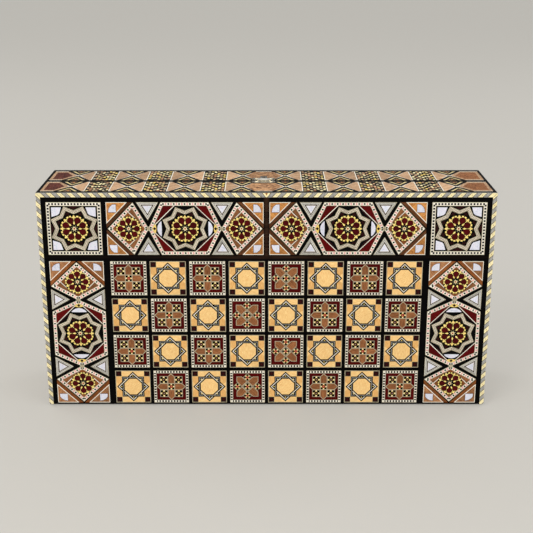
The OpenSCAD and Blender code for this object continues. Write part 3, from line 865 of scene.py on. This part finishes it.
def chess_face(tray):
    U, V = tray.dir(1, 0, 0), (0, 0, 1)
    plus, cross = pat_dark(SQ, True), pat_dark(SQ, False)
    lights = [pat_light(SQ, a) for a in (48.0, 96.0, 38.0, 84.0, 130.0)]
    k = 0
    for c in range(8):
        for r in range(4):
            x, z = square_at(c, r)
            k += 1
            lit = (c + r) % 2 == 0
            p = lights[(3 * c + 2 * r) % 5] if lit else (cross if (c, r) in X_SQUARES else plus)
            ob = slab("%s_square_%d_%d" % (tray.name, c + 1, r + 1), p, tray.at(x, -D, z), U, V, INLAY, tray.name,
                      seed=100 * tray.s + k)
            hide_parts(tray.node("light_squares" if lit else "dark_squares"))
    ct = pat_corner(BAND)
    for s in (-1, 1):
        x = s * (W / 2 - ROPE - FIELD - BAND / 2)
        ob = slab("%s_corner_tile_%s" % (tray.name, "left" if s < 0 else "right"), ct, tray.at(x, -D, T0 - BAND / 2), U, V,
                  INLAY, tray.name, seed=7 + s + 10 * tray.s)
        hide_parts(tray.node("corner_tiles"))
    pp = pat_panel(PANEL_L, BAND)
    for s in (-1, 1):
        x = s * (CGAP / 2 + PANEL_L / 2)
        ob = slab("%s_top_panel_%s" % (tray.name, "left" if s < 0 else "right"), pp, tray.at(x, -D, T0 - BAND / 2), U, V,
                  INLAY, tray.name, grid=(2, 2), seed=31 + s + 10 * tray.s)
        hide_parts(tray.node("top_border_panels"))
    ps = pat_panel(SIDE_L, BAND, "cb", "br")
    for s in (-1, 1):
        x = s * (W / 2 - ROPE - FIELD - BAND / 2)
        ob = slab("%s_side_panel_%s" % (tray.name, "left" if s < 0 else "right"), ps, tray.at(x, -D, JOINT / 2 + SIDE_L / 2),
                  (0, 0, 1), tray.dir(-1, 0, 0), INLAY, tray.name, grid=(2, 2), seed=61 + s + 10 * tray.s)
        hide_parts(tray.node("side_border_panels"))
    # rope edging: one top strip and two end strips, mitred at the corners
    top = pat_rope(W, ROPE, 1, (ROPE, ROPE), flip_at=0.0)
    ob = slab("%s_rope_top" % tray.name, top, tray.at(0, -D, H - ROPE / 2), U, V, INLAY, tray.name,
              grid=(2, 12), seed=3)
    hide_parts(tray.node("rope_edging"))
    for s in (-1, 1):
        # drawn along the edge, with the pattern's lower side inwards
        if s < 0:
            p = pat_rope(H, ROPE, 1, (0.0, ROPE))
            o, u, v = tray.at(-W / 2 + ROPE / 2, -D, H / 2), (0, 0, 1), tray.dir(-1, 0, 0)
        else:
            p = pat_rope(H, ROPE, -1, (ROPE, 0.0))
            o, u, v = tray.at(W / 2 - ROPE / 2, -D, H / 2), (0, 0, -1), tray.dir(1, 0, 0)
        ob = slab("%s_rope_%s" % (tray.name, "left" if s < 0 else "right"), p, o, u, v, INLAY, tray.name,
                  grid=(1, 8), seed=5 + s)
        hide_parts(tray.node("rope_edging"))


def strip_unit(p, x0, x1, h, cross0, cross1, block, wood):
    """One hexagon of the edge strip, between the crossings at x0 and x1. h is half the strip's height."""
    hw = 9.6
    hexa = [(x0 + 0.9, 0.0), (x0 + hw + 1.2, -h), (x1 - hw - 1.2, -h), (x1 - 0.9, 0.0), (x1 - hw - 1.2, h), (x0 + hw + 1.2, h)]
    p.poly("bo", hexa, t=0.0)
    p.poly(wood, inset(hexa, 1.0), 0.35)
    if block:
        c = (x0 + x1) / 2
        b = 10.4
        p.rect("bo", c - b - 0.8, -h, c + b + 0.8, h, math.pi / 2, 0.0)
        p.rect("eb", c - b, -h, c + b, h, math.pi / 2, 0.0)
        # columns of small slanting blocks, no two alike
        nx = 7
        cw = 2 * (b - 0.3) / nx
        rng = random.Random(int(abs(x0) * 10))
        for i in range(nx):
            xc = c - b + 0.3 + (i + 0.5) * cw
            y, lit = -h + 0.2 - rng.uniform(0.0, 5.0), i % 2 == 0
            while y < h - 0.5:
                y1 = y + (rng.uniform(3.4, 6.2) if lit else rng.uniform(3.2, 5.4))
                if lit or rng.random() < 0.12:
                    a, e = max(y, -h + 0.2), min(y1 - 0.25, h - 0.2)
                    k = rng.choice((-1, 1)) * cw * 0.16
                    m = rng.choice(("ye", "py", "yd", "be", "py", "tn", "tn")) if lit else "ch"
                    if e - a > 0.5:
                        p.poly(m, [(xc - k - cw * 0.36, a), (xc - k + cw * 0.36, a), (xc + k + cw * 0.36, e), (xc + k - cw * 0.36, e)],
                               math.pi / 2)
                y, lit = y1, not lit


def strip_crossing(p, x, h):
    """Black X with nested triangles on both edges of the strip."""
    for y in (-1, 1):
        p.poly("eb", [(x - 12.4, y * h), (x + 12.4, y * h), (x, -y * 0.7)], t=0.0)
        t = [(x - 8.6, y * h), (x + 8.6, y * h), (x, y * 4.6)]
        p.poly("be", t, t=0.0)
        p.poly("yd", inset(t, 0.45), 0.3, 0.0)
        p.poly("tn", square(0.75, (x, y * (h - 11.6)), math.pi / 4))
        t = [(x - 6.1, y * h), (x + 6.1, y * h), (x, y * (h - 10.2))]
        p.poly("eb", t, t=0.0)
        t = [(x - 3.6, y * h), (x + 3.6, y * h), (x, y * (h - 6.0))]
        p.poly("tn", t, t=-0.4)
        p.poly("md", inset(t, 0.5))
        p.poly("or", square(0.9, (x, y * (h - 1.8)), math.pi / 4))
    p.poly("bo", square(1.0, (x, 0.0), math.pi / 4))


def pat_strip(length, wid, crossings, plain, edges, tips=("rb", "rb")):
    """Edge veneer: hexagons and crossings between two dark lines. edges: width of the line below and above. tips: woods of the end pieces."""
    l, w = length / 2, wid / 2
    o = [(-l, -w), (l, -w), (l, w), (-l, w)]
    p = Pat(o, "eb")
    y0, y1 = -w + edges[0], w - edges[1]
    h, c = (y1 - y0) / 2, (y0 + y1) / 2
    q = Pat(o, "eb")
    # end pieces
    for s, x, tip in ((-1, crossings[0], tips[0]), (1, crossings[-1], tips[1])):
        a = [(s * (l - 1.0), -h), (s * (l - 1.0), h), (x + s * 10.0, h), (x + s * 0.6, 0.0), (x + s * 10.0, -h)]
        q.poly("bo", a, t=0.0)
        q.poly("tn", inset(a, 0.8), math.pi / 2, -0.5)
        q.poly(tip, inset(a, 4.2), math.pi / 2)
        q.rect("eb", min(s * (l - 2.6), s * l), -h, max(s * (l - 2.6), s * l), h, math.pi / 2, 0.0)
    for i, (a, b) in enumerate(zip(crossings[:-1], crossings[1:])):
        strip_unit(q, a, b, h, True, True, i not in plain, "tn" if i not in plain else "fw")
    for x in crossings:
        strip_crossing(q, x, h)
    for m, pts, g, t in q.shapes[1:]:
        p.poly(m, [(x, y + c) for x, y in pts], g, t)
    return p


TOP_X = [-2.4 + d for d in (-171.0, -121.0, -70.2, -19.4, 19.4, 70.2, 121.0, 171.0)]


def edges_of(tray):
    """Veneers on the top edge and the two ends."""
    wy = D - INLAY - SEAM
    yc = -(D - INLAY + SEAM) / 2
    xs = TOP_X if tray.s > 0 else [-x for x in reversed(TOP_X)]
    p = pat_strip(W, wy, xs, (3,), (5.2, 3.3), ("rb", "ch") if tray.s > 0 else ("ch", "rb"))
    ob = slab(tray.node("top_strip"), p, tray.at(0, yc, H), tray.dir(1, 0, 0), tray.dir(0, 1, 0), SIDE_T, tray.name,
              grid=(3, 3), seed=17 + tray.s)
    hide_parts(tray.node("top_veneer"))
    hz = H - SIDE_T
    ends = [-49.4 - 24.7, -24.7, 24.7, 24.7 + 49.4]
    for s in (-1, 1):
        if s < 0:
            u, v, e = (0, 0, 1), tray.dir(0, 1, 0), (2.6, 3.1)
        else:
            u, v, e = (0, 0, -1), tray.dir(0, 1, 0), (2.6, 3.1)
        p = pat_strip(hz, wy, ends, (), e)
        ob = slab(tray.node("end_strip_left" if s < 0 else "end_strip_right"), p, tray.at(s * W / 2, yc, hz / 2), u, v,
                  SIDE_T, tray.name, grid=(2, 3), seed=23 + s + 5 * tray.s)
        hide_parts(tray.node("left_veneer" if s < 0 else "right_veneer"))


IN_X, IN_Z0, IN_Z1 = 188.8, 10.0, 188.8       # inner faces of the rails
FLOOR_Y = 37.0                                # from the seam to the backgammon floor
POINT_PITCH = (IN_Z1 - IN_Z0 - 2.0) / 6
POINT_X, POINT_L, POINT_W = IN_X - 1.0, 138.0, 0.82 * POINT_PITCH


def pat_point(wood, ring):
    """Backgammon point with its base at -X and its tip at +X."""
    l, w = POINT_L / 2, POINT_W / 2
    tri = [(-l, -w), (l, 0.0), (-l, w)]
    p = Pat(tri, "bo", 0.0)
    p.band("eb", tri, 0.55, 1.0, t=0.0)
    p.poly(wood, inset(tri, 1.0), 0.0)
    q = [(-l + 2.6, -w + 2.6 + 0.9), (-l + 2.6, w - 2.6 - 0.9), (l * 0.52, 0.0)]
    p.band(ring, q, 0.0, 0.5)
    c = (-l + 14.0, 0.0)
    p.disc(ring, c, 8.2, n=32, t=0.0)
    rosette(p, c, 7.5, 0.0)
    for x, r in ((29.0, 2.9), (40.0, 2.4), (50.0, 1.9)):
        mosaic(p, (-l + x, 0.0), r, math.pi / 4, heart="rd")
    p.poly(ring, square(1.1, (-l + 59.0, 0.0), math.pi / 4))
    return p


def pat_medallion():
    """Octagon with the eight-point star."""
    r = 23.0 / math.cos(math.pi / 8)
    o = [polar((0, 0), r, 22.5 + 45 * k) for k in range(8)]
    p = Pat(o, "be")
    dotted_frame(p, o, 2.9, 2.7, 1.4, ("eb", "pk"))
    p.poly("mr", inset(o, 2.9), 0.3)
    inner = star_ribbon(p, (0, 0), 20.9, 15.9, 2.9, 22.5)
    star_field(p, (0, 0), 11.2, 22.5)
    rosette(p, (0, 0), 11.4, 22.5)
    return p


def stringing(tray, name, x0, z0, x1, z1, wid=1.8):
    """Thin mitred line of bone and ebony laid on the floor, round a rectangle."""
    N = Vector((0, 1, 0)) * tray.s
    for i, (a, b) in enumerate((((x0, z0), (x1, z0)), ((x1, z0), (x1, z1)), ((x1, z1), (x0, z1)), ((x0, z1), (x0, z0)))):
        L = math.hypot(b[0] - a[0], b[1] - a[1])
        d = Vector((tray.s * (b[0] - a[0]) / L, 0.0, (b[1] - a[1]) / L))
        V = N.cross(d)
        # the line is drawn with its outer side at V = -wid / 2 where V points to the middle of the rectangle
        mid = Vector((tray.s * ((x0 + x1) / 2 - (a[0] + b[0]) / 2), 0.0, (z0 + z1) / 2 - (a[1] + b[1]) / 2))
        side = 1 if V.dot(mid) > 0 else -1
        l, w = L / 2, wid / 2
        o = [(-l, -w * side), (l, -w * side), (l - 2 * w, w * side), (-l + 2 * w, w * side)]
        if side < 0:
            o.reverse()
        p = Pat(o, "bo", 0.0)
        p.rect("eb", -l, -0.35, l, 0.35, 0.0, 0.0)
        c = Vector(tray.at((a[0] + b[0]) / 2, -FLOOR_Y + 0.08, (a[1] + b[1]) / 2)) + V * (w * side)
        slab("%s_%s_%d" % (tray.name, name, i + 1), p, c, d, V, 0.2, tray.name, grid=(1, 6), seed=71 + i)


def inside(tray):
    """Points, medallion and lines of the backgammon floor."""
    N = Vector((0, 1, 0)) * tray.s
    k = 0
    for i in range(6):
        for e in (-1, 1):                          # end of the tray, in world X
            lit = (i + (0 if e < 0 else 1)) % 2 == 0
            k += 1
            z = IN_Z0 + 1.0 + (i + 0.5) * POINT_PITCH + LIFT
            U = Vector((-e, 0, 0))
            O = Vector((e * (POINT_X - POINT_L / 2), -tray.s * FLOOR_Y, z))
            p = pat_point("le", "rb") if lit else pat_point("mr", "bo")
            ob = slab("%s_point_%d" % (tray.name, k), p, O, U, N.cross(U), INLAY, tray.name,
                      grid=(1, 3), seed=k + 40 * tray.s)
            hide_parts(tray.node("light_points" if lit else "dark_points"))
    z = (IN_Z0 + IN_Z1) / 2 + LIFT
    ob = slab("%s_medallion_star" % tray.name, pat_medallion(), (0, -tray.s * FLOOR_Y, z), Vector((1, 0, 0)),
              N.cross(Vector((1, 0, 0))), INLAY, tray.name, seed=9 + tray.s)
    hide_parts(tray.node("medallion"))
    stringing(tray, "line", -46.0, IN_Z0 + 4.5, 46.0, IN_Z1 - 4.5)


for t in (Tray("lid"), Tray("base")):
    chess_face(t)
    edges_of(t)
    inside(t)


# ---------------------------------------------------------------- plain materials for the CAD pieces

def sap_mask(n, co, fib, fi):
    """Brown heart of the two strips under the border panels and between them."""
    sep = n.add("ShaderNodeSeparateXYZ")
    n.link(co, sep.inputs[0])
    ax = n.math("ABSOLUTE", sep.outputs[0])
    z0, z1 = (T0 - BAND - BGAP + LIFT) * MM, (T0 - BAND + LIFT) * MM
    mid, hw = (z0 + z1) / 2, (z1 - z0) / 2
    row = n.range(n.math("ABSOLUTE", n.math("SUBTRACT", sep.outputs[2], mid)), 0.15 * hw, 0.95 * hw, 1.0, 0.0)
    row = n.math("MULTIPLY", row, n.range(ax, 0.02, 0.11, 0.85, 0.12))
    post = n.math("MULTIPLY", n.range(ax, 0.1 * CGAP * MM, 0.5 * CGAP * MM, 1.0, 0.3), n.range(sep.outputs[2], z0, z1, 0.0, 1.0))
    post = n.math("MULTIPLY", post, n.math("LESS_THAN", ax, 0.5 * CGAP * MM))
    m = n.math("MAXIMUM", row, post)
    return n.math("MULTIPLY", m, n.range(n.math("ADD", fib, fi), 0.75, 1.2, 0.15, 1.0))


def solid_wood(name, light, dark, along="X", rough=(0.38, 0.55), coat=0.0, fine=1.0, bump=0.15, sap=None, spec=0.11):
    """Planed wood or sheet, in the object's own coordinates."""
    n = Nodes(name)
    co = n.add("ShaderNodeTexCoord").outputs["Object"]
    sc = {"X": (1.0, 14.0, 14.0), "Y": (14.0, 1.0, 14.0), "Z": (14.0, 14.0, 1.0)}[along]
    v = n.mapping(co, sc)
    fib = n.noise(v, 9.0 * fine, 5.0, 0.6, 0.35)
    fi = n.noise(v, 46.0 * fine, 3.0, 0.6)
    broad = n.noise(n.mapping(co, tuple(0.3 * x for x in sc)), 6.0, 2.0, 0.5, 0.8)
    c = n.ramp(n.math("ADD", n.math("MULTIPLY", fib, 0.7), n.math("MULTIPLY", fi, 0.3)), [(0.30, dark), (0.68, light)])
    c = n.mix(n.range(broad, 0.35, 0.65, 0.0, 0.35), c, tuple(0.7 * x for x in dark[:3]) + (1.0,))
    pore = n.range(fi, 0.30, 0.40, 0.5, 0.0)
    c = n.mix(pore, c, tuple(0.4 * x for x in dark[:3]) + (1.0,))
    if sap:
        c = n.mix(sap_mask(n, co, fib, fi), c, sap)
    n.link(c, n.bsdf.inputs["Base Color"])
    n.link(n.range(fib, 0.3, 0.7, rough[1], rough[0]), n.bsdf.inputs["Roughness"])
    if coat:
        lacquer(n, coat, spec=spec)
    n.bump(fi, bump, 0.0001)
    return n.mat


def brass(name, tint, rough=(0.18, 0.36), patina=0.5, painted_shade=None):
    n = Nodes(name)
    co = n.add("ShaderNodeTexCoord").outputs["Object"]
    a = n.noise(co, 140.0, 5.0, 0.6)
    b = n.noise(n.mapping(co, (60.0, 900.0, 60.0)), 4.0, 2.0, 0.5)
    c = n.mix(n.range(a, 0.45, 0.72, 0.0, patina), tint, tuple(x * y for x, y in zip(tint[:3], (0.42, 0.36, 0.30))) + (1.0,))
    if painted_shade:
        # painted shade: dark along one edge of the piece, standing in for the shadow there, with the metal's reflection
        # turned down as well: axis, where it starts and where it is full
        axis, start, full = painted_shade
        sep = n.add("ShaderNodeSeparateXYZ")
        n.link(co, sep.inputs[0])
        w = n.math("ADD", sep.outputs[axis], n.math("MULTIPLY", n.math("SUBTRACT", a, 0.5), 0.0004))
        c = n.mix(n.range(w, start * MM, full * MM, 0.0, 0.94), c, (0.03, 0.025, 0.02, 1.0))
        n.link(n.range(w, start * MM, full * MM, 1.0, 0.1), n.bsdf.inputs["Metallic"])
    else:
        n.bsdf.inputs["Metallic"].default_value = 1.0
    n.link(c, n.bsdf.inputs["Base Color"])
    n.link(n.range(a, 0.3, 0.7, rough[0], rough[1]), n.bsdf.inputs["Roughness"])
    n.bump(b, 0.04, 0.00003)
    return n.mat


EBONY = solid_wood("ebony_ground", lin(10, 8, 8), lin(3, 3, 3), "X", (0.26, 0.40), coat=0.012, sap=lin(60, 41, 29), spec=0.03)
EBONY_RIM = solid_wood("ebony_rim", lin(34, 28, 26), lin(12, 9, 9), "X", (0.30, 0.45), coat=0.2)
RAIL_X = solid_wood("rail_wood_long", lin(96, 58, 36), lin(54, 30, 18), "X", (0.40, 0.56), coat=0.15)
RAIL_Z = solid_wood("rail_wood_end", lin(96, 58, 36), lin(54, 30, 18), "Z", (0.40, 0.56), coat=0.15)
PLY = solid_wood("panel_plywood", lin(206, 168, 120), lin(168, 126, 82), "X", (0.5, 0.65))
FLOOR_V = solid_wood("walnut_floor", lin(140, 88, 54), lin(88, 50, 28), "X", (0.34, 0.48), coat=0.2)
WALL_V = solid_wood("walnut_walls", lin(124, 76, 46), lin(76, 42, 24), "X", (0.36, 0.5), coat=0.2)
BRASS = brass("hinge_brass", (0.72, 0.50, 0.20, 1.0))
# painted shade on the far rolled edge of the hasp strap
BRASS_P = brass("clasp_brass", (1.0, 0.97, 0.88, 1.0), (0.14, 0.26), 0.08, (1, 6.5, 6.8))
# painted shadow on the plates' thin edges, where they stand on the wood
BRASS_D = brass("clasp_plate_brass", (0.86, 0.81, 0.68, 1.0), (0.18, 0.34), 0.40, (2, H + LIFT + 0.76, H + LIFT + 0.60))
# painted shade on the top of the keeper's hook
BRASS_K = brass("clasp_keeper_brass", (0.86, 0.81, 0.68, 1.0), (0.18, 0.34), 0.40, (2, H + LIFT + 2.0, H + LIFT + 2.3))
TACK = brass("tack_brass", (0.93, 0.84, 0.62, 1.0), (0.16, 0.30), 0.15)
STEEL = brass("pin_steel", (0.62, 0.62, 0.60, 1.0), (0.22, 0.4), 0.3)

LOOK = {}
for t in ("lid", "base"):
    LOOK.update({t + "_ebony_ground": EBONY, t + "_rim_banding": EBONY_RIM, t + "_top_rail": RAIL_X, t + "_bottom_rail": RAIL_X,
                 t + "_left_rail": RAIL_Z, t + "_right_rail": RAIL_Z, t + "_panel": PLY, t + "_floor_lining": FLOOR_V,
                 t + "_wall_linings": WALL_V, t + "_hinge_screws": BRASS})
for n in ("left_hinge_base_leaf", "left_hinge_lid_leaf", "right_hinge_base_leaf", "right_hinge_lid_leaf"):
    LOOK[n] = BRASS
LOOK.update({"clasp_keeper": BRASS_K, "hasp_plate": BRASS_D, "hasp": BRASS_P})
for n in ("left_hinge_pin", "right_hinge_pin", "hasp_pin"):
    LOOK[n] = STEEL
for n, m in LOOK.items():
    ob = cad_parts[n]
    ob.data.materials.clear()
    ob.data.materials.append(m)


def lathe(bm, prof, c, n=32):
    """Solid of revolution about a vertical axis at c; the profile runs from its lower to its upper pole."""
    rings = []
    for r, z in prof:
        k = 1 if r < 1e-6 else n
        rings.append([bm.verts.new(((c[0] + r * math.cos(2 * math.pi * i / k)) * MM,
                                    (c[1] + r * math.sin(2 * math.pi * i / k)) * MM, (c[2] + z) * MM)) for i in range(k)])
    for a, b in zip(rings, rings[1:]):
        for i in range(n):
            j = (i + 1) % n
            f = [a[i % len(a)], a[j % len(a)], b[j % len(b)], b[i % len(b)]]
            g = []
            for v in f:
                if v not in g:
                    g.append(v)
            bm.faces.new(g).smooth = True


def tacks(name, node, body, y):
    """Domed brass tacks of one clasp plate."""
    top = H + LIFT
    prof = [(0.0, -TACK_L), (0.25, -TACK_L + 0.1), (TACK_R, -TACK_L + 1.2), (TACK_R, 0.8), (1.35, 0.8), (1.38, 0.86)]
    prof += [(1.38 * math.cos(t), 0.86 + 0.54 * math.sin(t)) for t in (0.26, 0.52, 0.79, 1.05, 1.31)] + [(0.0, 1.40)]
    me = bpy.data.meshes.new(name)
    bm = bmesh.new()
    for s in (-1, 1):
        lathe(bm, prof, (-2.5 + 6.5 * s, y, top))
    bmesh.ops.recalc_face_normals(bm, faces=bm.faces)
    bm.to_mesh(me)
    bm.free()
    me.materials.append(TACK)
    ob = bpy.data.objects.new(name, me)
    bpy.context.scene.collection.objects.link(ob)
    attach(ob, body)
    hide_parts(node)


TACK_R, TACK_L = 0.5, 5.0
tacks("keeper_tacks", "keeper_pins", "base", 5.5)
tacks("hasp_plate_tacks", "hasp_plate_pins", "lid", -5.5)


# ---------------------------------------------------------------- floor, light and camera

def stage():
    me = bpy.data.meshes.new("stage_floor")
    bm = bmesh.new()
    bmesh.ops.create_grid(bm, x_segments=2, y_segments=2, size=20.0)
    bm.to_mesh(me)
    bm.free()
    ob = bpy.data.objects.new("stage_floor", me)
    bpy.context.scene.collection.objects.link(ob)
    n = Nodes("stage_floor")
    n.bsdf.inputs["Base Color"].default_value = (0.58, 0.555, 0.515, 1.0)
    n.bsdf.inputs["Roughness"].default_value = 0.6
    n.bsdf.inputs["Specular IOR Level"].default_value = 0.2
    # half clear, and quite clear from below, so that the tray that swings under the floor can be seen
    clear = n.add("ShaderNodeBsdfTransparent")
    mix = n.add("ShaderNodeMixShader")
    back = n.add("ShaderNodeNewGeometry").outputs["Backfacing"]
    n.link(n.range(back, 0.0, 1.0, 0.5, 1.0), mix.inputs[0])
    n.link(n.bsdf.outputs[0], mix.inputs[1])
    n.link(clear.outputs[0], mix.inputs[2])
    out = [k for k in n.t.nodes if k.type == "OUTPUT_MATERIAL"][0]
    n.link(mix.outputs[0], out.inputs["Surface"])
    me.materials.append(n.mat)


def backdrop():
    """Pale surroundings: as bright as the floor below the horizon, dim round it and bright overhead."""
    world = bpy.data.worlds.new("studio")
    bpy.context.scene.world = world
    world.use_nodes = True
    t = world.node_tree
    co = t.nodes.new("ShaderNodeTexCoord")
    sep = t.nodes.new("ShaderNodeSeparateXYZ")
    t.links.new(co.outputs["Generated"], sep.inputs[0])
    r = t.nodes.new("ShaderNodeMapRange")
    t.links.new(sep.outputs[2], r.inputs[0])
    for i, v in enumerate((-1.0, 1.0, 0.0, 1.0)):
        r.inputs[i + 1].default_value = v
    ramp = t.nodes.new("ShaderNodeValToRGB")
    t.links.new(r.outputs[0], ramp.inputs[0])
    stops = ((0.0, (0.60, 0.58, 0.55, 1.0)), (0.495, (0.62, 0.60, 0.565, 1.0)), (0.515, (0.13, 0.128, 0.122, 1.0)),
             (0.66, (0.17, 0.17, 0.17, 1.0)), (0.84, (0.85, 0.86, 0.88, 1.0)), (1.0, (1.0, 1.0, 1.0, 1.0)))
    els = ramp.color_ramp.elements
    while len(els) < len(stops):
        els.new(0.5)
    for e, (pos, col) in zip(els, stops):
        e.position, e.color = pos, col
    seen = t.nodes.new("ShaderNodeMix")
    seen.data_type = "RGBA"
    t.links.new(t.nodes.new("ShaderNodeLightPath").outputs["Is Camera Ray"], seen.inputs[0])
    t.links.new(ramp.outputs[0], seen.inputs[6])
    seen.inputs[7].default_value = (0.59, 0.57, 0.515, 1.0)
    bg = t.nodes["Background"]
    t.links.new(seen.outputs[2], bg.inputs[0])
    bg.inputs[1].default_value = 1.0


def aim(ob, target):
    ob.rotation_euler = (Vector(target) - ob.location).to_track_quat("-Z", "Y").to_euler()


def area(name, loc, target, size, power, col=(1, 1, 1)):
    l = bpy.data.lights.new(name, "AREA")
    l.energy, l.size, l.color = power, size, col
    ob = bpy.data.objects.new(name, l)
    bpy.context.scene.collection.objects.link(ob)
    ob.location = loc
    aim(ob, target)


stage()
backdrop()
area("key", (-1.1, -1.5, 1.3), (0, 0, 0.1), 1.2, 24.0, (1.0, 0.975, 0.94))
area("fill", (1.4, -1.2, 0.9), (0, 0, 0.1), 1.4, 12.0, (0.96, 0.98, 1.0))
area("back_left", (-1.9, 1.2, 1.3), (0, 0, 0.1), 1.0, 10.0)
area("back_right", (1.9, 1.2, 1.3), (0, 0, 0.1), 1.0, 10.0)

cam = bpy.data.cameras.new("camera")
cam.lens, cam.sensor_width = 72.2, 36.0
cam_ob = bpy.data.objects.new("camera", cam)
bpy.context.scene.collection.objects.link(cam_ob)
cam_ob.location = (0.0, -0.9437, 0.4262)
cam_ob.rotation_euler = (math.radians(90 - 17.96), 0.0, 0.0)
bpy.context.scene.camera = cam_ob
bpy.context.scene.view_settings.view_transform = "Standard"
